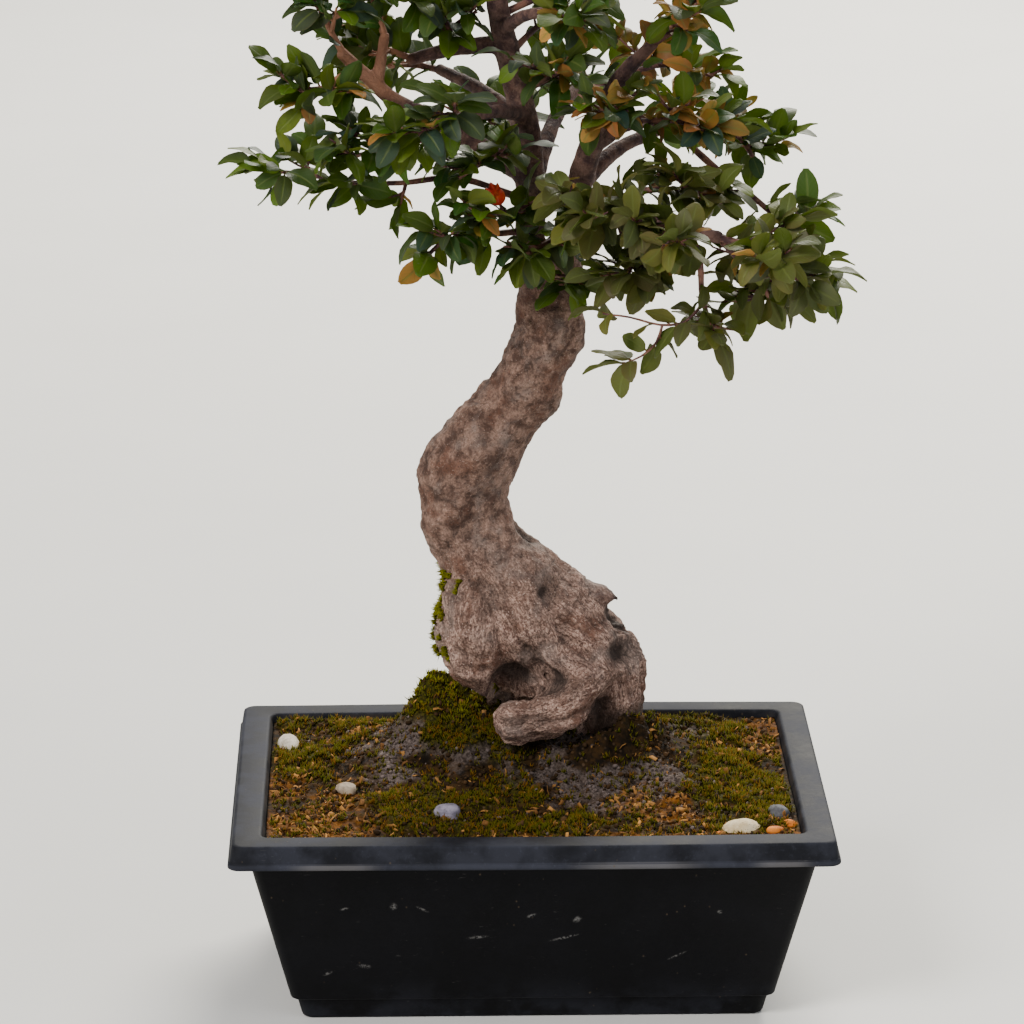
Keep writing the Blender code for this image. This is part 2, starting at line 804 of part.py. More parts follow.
def soil_height(x, y):
    """The soil's surface: level at the pot's wall, mounded round the trunk, with low ripples."""
    half_x, half_y = half_at(cavity_inset(SOIL_EDGE_Z))
    inside = np.minimum(half_x - np.abs(x), half_y - np.abs(y))
    ease = np.clip(inside / SOIL_EDGE_BAND, 0.0, 1.0)
    ease = ease * ease * (3 - 2 * ease)
    rise = sum(h * np.exp(-(((x - cx) / sx) ** 2) - ((y - cy) / sy) ** 2) for cx, cy, h, sx, sy in MOUNDS)
    ripple = np.sin(0.41 * x + 1.3 * np.sin(0.23 * y)) * np.cos(0.37 * y + 0.9 * np.sin(0.31 * x))
    return SOIL_EDGE_Z + ease * rise + SOIL_RIPPLE * ripple * (0.35 + 0.65 * ease)


def make_terrain(helpers):
    """A closed block whose top is the soil's surface and which runs past the pot's walls."""
    bm = bmesh.new()
    bmesh.ops.create_grid(bm, x_segments=SOIL_CELLS[0], y_segments=SOIL_CELLS[1], size=1.0)
    for vert in bm.verts:
        x, y = vert.co.x * RIM_HALF[0], vert.co.y * RIM_HALF[1]
        vert.co = Vector((x, y, float(soil_height(np.float64(x), np.float64(y))))) * MM
    rim = [e for e in bm.edges if e.is_boundary]
    skirt = bmesh.ops.extrude_edge_only(bm, edges=rim)["geom"]
    for vert in [g for g in skirt if isinstance(g, bmesh.types.BMVert)]:
        vert.co.z = 0.0
    bmesh.ops.contextual_create(bm, geom=[e for e in bm.edges if e.is_boundary])
    return object_of(mesh_of(bm, "terrain"), "terrain", helpers)


def make_soil(collection, helpers):
    low, high = FLOOR + GAP, POT_HEIGHT + 4 * SKIRT_HEIGHT
    soil = tapered_block(
        "soil",
        (*half_at(cavity_inset(low) + GAP), low),
        (*half_at(cavity_inset(high) + GAP), high),
        INNER_CORNER + GAP,
        collection,
    )
    boolean(soil, make_terrain(helpers), "INTERSECT")
    soil.data.materials.clear()
    soil.data.materials.append(material("soil"))
    return soil


def make_stone(name, x, y, half, turn, collection):
    bpy.ops.mesh.primitive_uv_sphere_add(segments=7, ring_count=5, radius=MM)
    stone = bpy.context.active_object
    stone.name = name
    for owner in list(stone.users_collection):
        owner.objects.unlink(stone)
    collection.objects.link(stone)
    z = float(soil_height(np.float64(x), np.float64(y))) + half[2] * (1 - 2 * STONE_SUNK)
    place = Matrix.Translation(Vector((x, y, z)) * MM)
    size = Matrix.Diagonal((*half, 1.0))
    stone.data.transform(place @ Matrix.Rotation(math.radians(turn), 4, "Z") @ size)
    stone.data.materials.append(material("stone"))
    return stone


# Wood


def make_wood(collection, helpers):
    """Roots, trunk and limbs: tubes of changing thickness, grown together into one skin."""
    runs = [smooth_path(TRUNK, TUBE_STEP)]
    runs += [smooth_path(run, TUBE_STEP) for run in LOBES.values()]
    runs += [smooth_path(run, TUBE_STEP) for run in LIMBS.values()]
    bm = bmesh.new()
    for run in runs:
        piece = tube("run", run, 3, helpers)
        bm.from_mesh(piece.data)
        remove(piece)
    wood = object_of(mesh_of(bm, "trunk"), "trunk", collection)
    skin = wood.modifiers.new("skin", "REMESH")
    skin.mode = "VOXEL"
    skin.voxel_size = WOOD_VOXEL * MM
    ease = wood.modifiers.new("ease", "SMOOTH")
    ease.factor = 0.5
    ease.iterations = 3
    applied(wood)
    shape_bark(wood.data)
    fewer = wood.modifiers.new("fewer_faces", "DECIMATE")
    wood.data.calc_loop_triangles()
    fewer.ratio = WOOD_TRIANGLES / len(wood.data.loop_triangles)
    fewer.use_collapse_triangulate = True
    applied(wood)
    cut_flat_below(wood, ROOTS_END_Z)
    largest_body(wood)
    wood.data.materials.clear()
    wood.data.materials.append(material("bark"))
    wood.data.shade_smooth()
    return wood


def cut_flat_below(obj, z):
    """Cuts the object off level at this height and closes it there."""
    bm = bmesh.new()
    bm.from_mesh(obj.data)
    everything = bm.verts[:] + bm.edges[:] + bm.faces[:]
    cut = bmesh.ops.bisect_plane(
        bm, geom=everything, plane_co=(0, 0, z * MM), plane_no=(0, 0, -1), clear_outer=True
    )
    bmesh.ops.contextual_create(bm, geom=[g for g in cut["geom_cut"] if isinstance(g, bmesh.types.BMEdge)])
    bmesh.ops.recalc_face_normals(bm, faces=bm.faces)
    bm.to_mesh(obj.data)
    bm.free()


def lumps(points, size):
    """A smooth field from -1 to 1: crossed sine waves, each bent by another."""
    x, y, z = (points / size).T
    a = np.sin(2.1 * x + 1.7 * np.sin(1.3 * z + 0.4)) * np.cos(1.9 * y + 1.1 * np.sin(1.7 * z))
    b = np.sin(1.3 * z + 2.0 * np.sin(0.9 * x + 1.1)) * np.cos(2.3 * x - 1.4 * y)
    return 0.6 * a + 0.4 * b


def shape_bark(mesh):
    """Raises lumps on the thick wood and presses its hollows in."""
    points, normals = points_of(mesh), normals_of(mesh)
    thick = np.clip((WOOD_LUMPS_END_Z - points[:, 2]) / WOOD_LUMP_FADE, 0.0, 1.0)
    push = WOOD_LUMP_HEIGHT * thick * lumps(points, WOOD_LUMP_SIZE)
    for x, y, z, radius, depth in HOLLOWS:
        away = np.linalg.norm(points - np.array([x, y, z]), axis=1)
        push -= depth * np.exp(-((away / radius) ** 2))
    set_points(mesh, points + normals * push[:, None])


def wood_samples():
    """Points along all the wood's centre lines, each with its radius."""
    runs = [TRUNK, *LOBES.values(), *LIMBS.values()]
    return np.vstack([smooth_path(run, 1.0) for run in runs])


# Crown: where stems, shoots and leaves grow


def frame_at(path, share):
    """The point and the direction at this share of a path's length."""
    steps = np.linalg.norm(np.diff(path, axis=0), axis=1)
    along = np.concatenate([[0.0], np.cumsum(steps)])
    target = share * along[-1]
    i = min(max(int(np.searchsorted(along, target)) - 1, 0), len(steps) - 1)
    point = path[i] + (path[i + 1] - path[i]) * (target - along[i]) / steps[i]
    return point, unit(path[i + 1] - path[i])


def level_across(along):
    """The level direction across a stem, or +X where the stem is upright."""
    across = np.cross(along, UP)
    return unit(across) if np.linalg.norm(across) > 0.2 else np.array([1.0, 0.0, 0.0])


def side_shoot(stem, share, side, reach, rng):
    """A short shoot off the stem, to one side and slightly up, as three points."""
    base, along = frame_at(stem, share)
    across = side * level_across(along)
    turn, lift = np.radians(rng.uniform(*SHOOT_TURN)), np.radians(rng.uniform(*SHOOT_LIFT))
    way = np.cos(turn) * along + np.sin(turn) * (np.cos(lift) * across + np.sin(lift) * UP)
    length = reach * (1.05 - 0.35 * share) * rng.uniform(*SHOOT_LENGTHS)
    bend = UP * SHOOT_BEND * length
    return np.array([base, base + way * length * 0.5 + bend * 0.2, base + way * length + bend])


def nearest(points, others):
    """For each point, the distance to the closest of the others."""
    apart = points[:, None, :] - others[None, :, :]
    return np.sqrt((apart**2).sum(axis=2)).min(axis=1)


def to_wood(points, wood):
    """How far the nearest of the points is from the wood's surface."""
    return (np.linalg.norm(points[:, None] - wood[None, :, :3], axis=2) - wood[:, 3]).min()


def grow_shoots(stems, wood):
    """Side shoots for every spray, kept clear of the wood and of the other sprays."""
    taken = {name: smooth_path(stem, 1.0) for name, stem in stems.items()}
    shoots = {}
    for number, (name, spray) in enumerate(SPRAYS.items()):
        rng = np.random.default_rng(SHOOT_SEED + number)
        stem = smooth_path(stems[name], 1.0)
        others = np.vstack([path for other, path in taken.items() if other != name])
        grown = []
        for k in range(spray.shoots):
            share = spray.bare + (SHOOT_LAST - spray.bare) * (k + 0.6) / spray.shoots
            for attempt in range(SHOOT_TRIES):
                side = 1.0 if (k + attempt) % 2 else -1.0
                reach = spray.reach * (1.0 - 0.5 * attempt / SHOOT_TRIES)
                shoot = side_shoot(stem, share, side, reach, rng)
                tail = smooth_path(shoot, 1.0)[2:]
                clear = nearest(tail, others).min() > SHOOT_CLEARANCE
                if clear and to_wood(tail, wood) > SHOOT_WOOD_CLEARANCE:
                    grown.append(shoot)
                    break
        for extra in (HANGING_SHOOTS.get(name), BUD_STALK if name == BUD_SPRAY else None):
            if extra:
                grown.append(np.array([extra[0], np.mean(extra, axis=0), extra[1]]))
        shoots[name] = grown
        taken[name] = np.vstack([taken[name]] + [smooth_path(s, 1.0) for s in grown])
    return shoots, taken


def leaf_sites(axis, start):
    """Where leaves grow along an axis: three at its tip, then opposite pairs, each turned from the last.

    A site is its place, the axis's direction there, the leaf's turn round the axis, its spread
    from it, and whether it is at the tip.
    """
    length = np.linalg.norm(np.diff(axis, axis=0), axis=1).sum()
    places = (0.98, 1.0 - LEAF_TIP_STEP / length, 1.0 - LEAF_TIP_STEP / length)
    sites = [(*frame_at(axis, share), *angles, True) for share, angles in zip(places, TIP_LEAVES)]
    count = max(1, int(length * (1 - start) / LEAF_NODE_SPACING))
    for k in range(count):
        share = max(1.0 - (k + 0.9) * (1 - start) / count, 0.02)
        turn = LEAF_TURNS[k % 2]
        sites += [(*frame_at(axis, share), turn + opposite, LEAF_SPREAD, False) for opposite in (0, 180)]
    return sites


def leaf_at(site, rng):
    """One leaf at a site: its root, its direction, the way across its blade, and its length."""
    base, along, turn, spread, _ = site
    across = level_across(along)
    over = np.cross(across, along)
    turn = np.radians(turn + rng.uniform(-LEAF_TURN_PLAY, LEAF_TURN_PLAY))
    spread = np.radians(spread + rng.uniform(-LEAF_SPREAD_PLAY, LEAF_SPREAD_PLAY))
    out = np.cos(turn) * across + np.sin(turn) * over
    way = unit(np.cos(spread) * along + np.sin(spread) * out + UP * rng.uniform(-0.25, 0.15))
    side = unit(np.cross(UP + 0.5 * rng.normal(size=3) - 0.35 * way, way))
    return base, way, side, rng.uniform(LEAF_LENGTHS[0], LEAF_LENGTHS[-1])


def leaf_marks(leaf):
    """Points over the blade, from near its stalk to its tip."""
    base, way, side, length = leaf
    half = length * LEAF_WIDTH_SHARE / 2
    spots = [(t, s * w) for t, w in LEAF_MARKS for s in (-1, 0, 1)] + [(LEAF_TIP_MARK, 0)]
    return np.array([base + way * length * t + side * half * s for t, s in spots])


def leaf_fits(marks, own, others, wood, bud):
    """True if the leaf keeps to the space nearer to its own spray than to anything else."""
    if np.any(nearest(marks, own) + LEAF_CELL_MARGIN > nearest(marks, others)):
        return False
    if np.linalg.norm(marks - bud, axis=1).min() < BUD_CLEARANCE:
        return False
    return to_wood(marks, wood) > LEAF_WOOD_CLEARANCE


def grow_leaves(stems, shoots, taken, wood):
    """The leaves of each spray: those at the tips first, then others wherever they cross none."""
    bud = np.array(BUD_STALK[1]) + unit(np.array(BUD_AXIS)) * BUD_LENGTH / 2
    leaves = {}
    for number, (name, spray) in enumerate(SPRAYS.items()):
        rng = np.random.default_rng(LEAF_SEED + number)
        sites = leaf_sites(smooth_path(stems[name], 1.0), spray.bare)
        for shoot in shoots[name]:
            if not (name == BUD_SPRAY and shoot is shoots[name][-1]):
                sites += leaf_sites(smooth_path(shoot, 1.0), SHOOT_BARE)
        order = sorted(rng.permutation(len(sites)), key=lambda i: not sites[i][-1])
        others = np.vstack([path for other, path in taken.items() if other != name])
        kept, covered = [], np.full((1, 3), 1e6)
        for i in order:
            for _ in range(LEAF_TRIES):
                leaf = leaf_at(sites[i], rng)
                marks = leaf_marks(leaf)
                free = nearest(marks, covered).min() > LEAF_APART
                if free and leaf_fits(marks, taken[name], others, wood, bud):
                    kept.append(leaf)
                    covered = np.vstack([covered, marks])
                    break
        leaves[name] = kept
    return leaves


# Leaves and sprays as solids


def leaf_mesh(length):
    """A blade pointed at its stalk and blunt at its tip, arched along its length, of even thickness."""
    half = length * LEAF_WIDTH_SHARE / 2
    bm = bmesh.new()
    bmesh.ops.create_grid(bm, x_segments=len(LEAF_OUTLINE) - 1, y_segments=1, size=1.0)
    columns = sorted({round(v.co.x, 4) for v in bm.verts})
    for vert in bm.verts:
        share, width = LEAF_OUTLINE[columns.index(round(vert.co.x, 4))]
        side = 1.0 if vert.co.y > 0 else -1.0
        arch = LEAF_ARCH * length * (1 - (2 * share - 1) ** 2)
        vert.co = Vector((share * length, side * half * width, arch)) * MM
    bmesh.ops.remove_doubles(bm, verts=bm.verts, dist=0.01 * MM)
    bmesh.ops.triangulate(bm, faces=bm.faces)
    flat = object_of(mesh_of(bm, "blade"), "blade", bpy.context.scene.collection)
    wall = flat.modifiers.new("thickness", "SOLIDIFY")
    wall.thickness = LEAF_THICKNESS * MM
    wall.offset = 0.0
    mesh = evaluated_mesh(flat)
    remove(flat)
    mesh.materials.append(material("leaf"))
    return mesh


def tapered(path, radii):
    """The path with a radius for each point, from the first to the second."""
    return np.column_stack([path, np.linspace(*radii, len(path))])


def straight_shoot(name, shoot, collection):
    """A tapered shoot with few sides, from its root to its tip."""
    bm = bmesh.new()
    start, end = Vector(shoot[0]), Vector(shoot[-1])
    way = end - start
    place = Matrix.Translation((start + end) / 2 * MM) @ way.to_track_quat("Z", "Y").to_matrix().to_4x4()
    bmesh.ops.create_cone(
        bm,
        cap_ends=True,
        segments=SHOOT_SIDES,
        radius1=SHOOT_RADIUS[0] * MM,
        radius2=SHOOT_RADIUS[1] * MM,
        depth=way.length * MM,
        matrix=place,
    )
    return object_of(mesh_of(bm, name), name, collection)


def open_edges(mesh):
    bm = bmesh.new()
    bm.from_mesh(mesh)
    count = sum(len(edge.link_faces) != 2 for edge in bm.edges)
    bm.free()
    return count


def make_spray(name, stem, shoots, leaves, blades, wood_cutter, collection):
    """Stem, shoots and leaves fused in one body, trimmed just clear of the wood."""
    spray = tube(name, tapered(smooth_path(stem, STEM_STEP), STEM_RADIUS), 0, collection)
    parts = new_collection(name + "_parts")
    for k, shoot in enumerate(shoots):
        straight_shoot(f"{name}_shoot_{k}", shoot, parts)
    for k, (base, way, side, length) in enumerate(leaves):
        nearest_size = min(LEAF_LENGTHS, key=lambda size: abs(size - length))
        blade = object_of(blades[nearest_size], f"{name}_leaf_{k}", parts)
        turn = Matrix((way, side, np.cross(way, side))).transposed().to_4x4()
        blade.matrix_world = Matrix.Translation(Vector(base) * MM) @ turn
    bare_stem = spray.data.copy()
    for solver in ("EXACT", "MANIFOLD"):
        spray.data = bare_stem.copy()
        boolean(spray, parts, "UNION", solver)
        boolean(spray, wood_cutter, "DIFFERENCE", solver)
        largest_body(spray)
        if open_edges(spray.data) == 0:
            break
    remove(*list(parts.objects))
    bpy.data.collections.remove(parts)
    spray.data.materials.clear()
    spray.data.materials.append(material("leaf"))
    return spray


def make_bud(collection):
    """A small urn-shaped flower bud that stands on its stalk's end."""
    bpy.ops.mesh.primitive_uv_sphere_add(segments=7, ring_count=5, radius=MM)
    bud = bpy.context.active_object
    bud.name = "flower_bud"
    for owner in list(bud.users_collection):
        owner.objects.unlink(bud)
    collection.objects.link(bud)
    points = points_of(bud.data)
    height = points[:, 2]
    points[:, :2] *= (BUD_RADIUS * (1 - BUD_NARROWING * height))[:, None]
    points[:, 2] = (height + 1) * BUD_LENGTH / 2
    axis = Vector(BUD_AXIS).normalized()
    turn = axis.to_track_quat("Z", "Y").to_matrix()
    seat = Vector(BUD_STALK[1]) + axis * (GAP + SHOOT_RADIUS[1] * 0.6)
    set_points(bud.data, points @ np.array(turn).T + np.array(seat))
    bud.data.materials.append(material("bud"))
    return bud


def main():
    clear_scene()
    parts = new_collection("pomegranate_bonsai")
    helpers = new_collection("cutters_and_guides")
    make_pot(parts, helpers)
    soil = make_soil(parts, helpers)
    wood = make_wood(parts, helpers)
    wood_cutter = inflated(wood, GAP, "wood_cutter", helpers)
    boolean(soil, wood_cutter, "DIFFERENCE")
    for name, x, y, half, turn in STONES:
        stone = make_stone(name, x, y, half, turn, parts)
        cutter = inflated(stone, GAP, name + "_cutter", helpers)
        boolean(soil, cutter, "DIFFERENCE")
    largest_body(soil)

    samples = wood_samples()
    stems = {name: np.array(spray.stem) for name, spray in SPRAYS.items()}
    shoots, taken = grow_shoots(stems, samples)
    leaves = grow_leaves(stems, shoots, taken, samples)
    blades = {length: leaf_mesh(length) for length in LEAF_LENGTHS}
    for name, spray in SPRAYS.items():
        chosen = leaves[name][: spray.leaves]
        make_spray(name, stems[name], shoots[name], chosen, blades, wood_cutter, parts)
    make_bud(parts)
    for helper in list(helpers.objects):
        helper.hide_render = True
        helper.display_type = "WIRE"


main()
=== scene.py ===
# A small pomegranate bonsai in its training pot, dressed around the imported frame.
# Lengths are in millimetres unless a line says otherwise, and become metres when a mesh is made.

import math
from collections import namedtuple

import bpy
import numpy as np
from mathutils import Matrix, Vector


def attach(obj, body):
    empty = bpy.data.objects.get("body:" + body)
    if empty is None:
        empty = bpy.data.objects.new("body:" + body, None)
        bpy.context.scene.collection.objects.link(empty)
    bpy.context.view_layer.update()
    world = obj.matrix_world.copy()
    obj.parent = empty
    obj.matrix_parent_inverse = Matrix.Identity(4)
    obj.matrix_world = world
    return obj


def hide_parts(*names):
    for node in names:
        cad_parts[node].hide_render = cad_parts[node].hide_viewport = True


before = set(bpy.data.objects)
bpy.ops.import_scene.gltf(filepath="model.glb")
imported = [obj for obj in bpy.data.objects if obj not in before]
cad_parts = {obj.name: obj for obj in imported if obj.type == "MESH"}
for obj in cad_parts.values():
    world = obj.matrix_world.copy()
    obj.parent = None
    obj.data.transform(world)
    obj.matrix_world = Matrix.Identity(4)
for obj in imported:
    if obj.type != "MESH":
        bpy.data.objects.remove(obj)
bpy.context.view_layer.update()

mm = 0.001
up = np.array([0.0, 0.0, 1.0])


# Fields and small sums

def unit(v):
    # each vector divided by its own length
    return v / np.linalg.norm(v, axis=-1, keepdims=True)


def ramp(values, low, high):
    # 0 below low, 1 above high, an eased climb between them
    t = np.clip((values - low) / (high - low), 0.0, 1.0)
    return t * t * (3 - 2 * t)


def hashed(cell, seed):
    # a repeatable random value from 0 to 1 for each whole-number cell
    key = cell @ np.array([73856093, 19349663, 83492791]) + seed * 1013904223
    key = (key ^ (key >> 13)) * 1274126177
    key = key ^ (key >> 16)
    return (key & 0xFFFF) / 65535.0


def softNoise(points, seed):
    # random values at the corners of unit cells, blended across each cell with eased weights, from -1 to 1
    cell = np.floor(points).astype(np.int64)
    part = points - cell
    ease = part**3 * (part * (part * 6 - 15) + 10)
    total = np.zeros(len(points))
    for corner in np.ndindex(2, 2, 2):
        weight = np.prod(np.where(corner, ease, 1 - ease), axis=1)
        total += weight * (2 * hashed(cell + np.array(corner), seed) - 1)
    return total


def roughNoise(points, size, octaves, seed):
    # soft noise added up, each layer half as large and half as strong as the one before
    return sum(0.5**k * softNoise(points * 2.0**k / size + 11.7 * k, seed + k) for k in range(octaves))


def crackNoise(points, size, seed):
    # distance to the nearest of one random spot in each cell, and the gap to the next nearest, in cells
    cell = np.floor(points / size).astype(np.int64)
    first, second = np.full(len(points), 9.0), np.full(len(points), 9.0)
    for step in np.ndindex(3, 3, 3):
        there = cell + np.array(step) - 1
        spot = there + np.stack([hashed(there, seed + k) for k in (1, 2, 3)], axis=1)
        away = np.linalg.norm(points / size - spot, axis=1)
        second = np.minimum(second, np.maximum(first, away))
        first = np.minimum(first, away)
    return first, second - first


def smoothPath(points, step):
    # a Catmull-Rom curve through the points, about one sample for each step
    given = np.asarray(points, float)
    padded = np.vstack([2 * given[0] - given[1], given, 2 * given[-1] - given[-2]])
    runs = []
    for i in range(len(given) - 1):
        a, b, c, d = padded[i : i + 4]
        count = max(1, int(round(np.linalg.norm((c - b)[:3]) / step)))
        t = np.arange(count)[:, None] / count
        squared, cubed = 2 * a - 5 * b + 4 * c - d, 3 * b - a - 3 * c + d
        runs.append(0.5 * (2 * b + (c - a) * t + squared * t**2 + cubed * t**3))
    runs.append(given[-1:])
    return np.vstack(runs)


def distances(points, others):
    # from each point to each of the others
    square = (points**2).sum(1)[:, None] + (others**2).sum(1) - 2 * points @ others.T
    return np.sqrt(np.maximum(square, 0.0))


def nearest(points, others):
    # for each point, the distance to the closest of the others
    return distances(points, others).min(axis=1)


def flatPoints(x, y):
    return np.stack([x, y, np.zeros_like(x)], axis=1)


# Meshes from arrays

def gridQuads(rows, columns, closed):
    # the four corners of every cell of a grid, whose last column may join its first
    i = np.arange(rows - 1)[:, None]
    j = np.arange(columns if closed else columns - 1)[None, :]
    nextJ = (j + 1) % columns
    cells = [i * columns + j, i * columns + nextJ, (i + 1) * columns + nextJ, (i + 1) * columns + j]
    return np.stack(cells, axis=-1).reshape(-1, 4)


def closedGrid(rows, columns):
    # rings of points joined in a skin, with a fan to a pole at each end; the two poles come after the rings
    first, second = np.arange(columns), np.roll(np.arange(columns), -1)
    low, last = rows * columns, (rows - 1) * columns
    fans = [np.stack([np.full(columns, low), second, first], axis=1),
            np.stack([np.full(columns, low + 1), last + first, last + second], axis=1)]
    return [np.vstack(fans), gridQuads(rows, columns, True)]


def stacked(shapes):
    # several (points, [faces, faces, ...]) put together as one, with their faces renumbered
    points, blocks, start = [], {}, 0
    for shapePoints, shapeBlocks in shapes:
        for block in shapeBlocks:
            blocks.setdefault(block.shape[1], []).append(block + start)
        points.append(shapePoints)
        start += len(shapePoints)
    return np.vstack(points), [np.vstack(blocks[size]) for size in sorted(blocks)]


def meshOf(name, points, blocks):
    # a mesh from points in millimetres and blocks of faces, each block with one number of corners
    mesh = bpy.data.meshes.new(name)
    corners = np.concatenate([block.ravel() for block in blocks]).astype(np.int32)
    sizes = np.concatenate([np.full(len(block), block.shape[1]) for block in blocks])
    mesh.vertices.add(len(points))
    mesh.vertices.foreach_set("co", (points * mm).astype(np.float32).ravel())
    mesh.loops.add(len(corners))
    mesh.loops.foreach_set("vertex_index", corners)
    mesh.polygons.add(len(sizes))
    mesh.polygons.foreach_set("loop_start", (np.cumsum(sizes) - sizes).astype(np.int32))
    mesh.update(calc_edges=True)
    return mesh


def placed(name, mesh, body="root"):
    piece = bpy.data.objects.new(name, mesh)
    bpy.context.scene.collection.objects.link(piece)
    if body:
        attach(piece, body)
    return piece


def setField(mesh, name, values):
    # a number or a vector kept at each vertex, for the materials
    vector = np.ndim(values) == 2
    field = mesh.attributes.new(name, "FLOAT_VECTOR" if vector else "FLOAT", "POINT")
    field.data.foreach_set("vector" if vector else "value", np.asarray(values, np.float32).ravel())


def meshPoints(mesh):
    flat = np.empty(len(mesh.vertices) * 3, np.float32)
    mesh.vertices.foreach_get("co", flat)
    return flat.reshape(-1, 3).astype(float) / mm


def meshNormals(mesh):
    flat = np.empty(len(mesh.vertices) * 3, np.float32)
    mesh.vertex_normals.foreach_get("vector", flat)
    return flat.reshape(-1, 3).astype(float)


def movePoints(mesh, points):
    mesh.vertices.foreach_set("co", (points * mm).astype(np.float32).ravel())
    mesh.update()


def shadeSmooth(mesh, sharp=None):
    # smooth shading, with the edges between two marked vertices kept sharp
    mesh.polygons.foreach_set("use_smooth", np.ones(len(mesh.polygons), bool))
    if sharp is not None:
        ends = np.empty(len(mesh.edges) * 2, np.int32)
        mesh.edges.foreach_get("vertices", ends)
        marked = sharp[ends.reshape(-1, 2)].all(axis=1)
        mesh.attributes.new("sharp_edge", "BOOLEAN", "EDGE").data.foreach_set("value", marked)
    mesh.update()


def evaluated(piece):
    # the piece's mesh with its modifiers worked in
    bpy.context.view_layer.update()
    return bpy.data.meshes.new_from_object(piece.evaluated_get(bpy.context.evaluated_depsgraph_get()))


def carried(middle):
    # the direction along a path at each point, and two directions square to it
    along = unit(np.gradient(middle, axis=0))
    lead = np.eye(3)[np.argmin(np.abs(unit(middle[-1] - middle[0])))]
    across = unit(np.cross(lead, along))
    return along, across, np.cross(along, across)


def tube(path, sides):
    # A circle carried along a path of (x, y, z, radius): centre + radius * (cos a * across + sin a * over).
    # A pole point a little beyond each end closes it.
    middle, radius = path[:, :3], path[:, 3]
    along, across, over = carried(middle)
    angle = np.arange(sides) * 2 * np.pi / sides
    ring = across[:, None] * np.cos(angle)[None, :, None] + over[:, None] * np.sin(angle)[None, :, None]
    points = (middle[:, None] + radius[:, None, None] * ring).reshape(-1, 3)
    poles = np.array([middle[0] - along[0] * radius[0] * 0.6, middle[-1] + along[-1] * radius[-1] * 0.6])
    return np.vstack([points, poles]), closedGrid(len(path), sides)


# Shader expressions

class Wire:
    # a node's output that stands in sums: +, -, *, / and ** add Math nodes
    def __init__(self, finish, socket):
        self.finish, self.socket = finish, socket

    def maths(self, operation, first, second=0.0):
        return self.finish.node("ShaderNodeMath", {"operation": operation}, {0: first, 1: second})

    def __add__(self, other):
        return self.maths("ADD", self, other)

    __radd__ = __add__

    def __mul__(self, other):
        return self.maths("MULTIPLY", self, other)

    __rmul__ = __mul__

    def __sub__(self, other):
        return self.maths("SUBTRACT", self, other)

    def __rsub__(self, other):
        return self.maths("SUBTRACT", other, self)

    def __truediv__(self, other):
        return self.maths("DIVIDE", self, other)

    def __rtruediv__(self, other):
        return self.maths("DIVIDE", other, self)

    def __pow__(self, other):
        return self.maths("POWER", self, other)

    def size(self):
        return self.maths("ABSOLUTE", self)

    def least(self, other):
        return self.maths("MINIMUM", self, other)

    def between(self, low, high):
        # 0 at low, 1 at high, eased and kept within those
        settings = {"interpolation_type": "SMOOTHSTEP"}
        return self.finish.node("ShaderNodeMapRange", settings, {0: self, 1: low, 2: high, 3: 0.0, 4: 1.0})


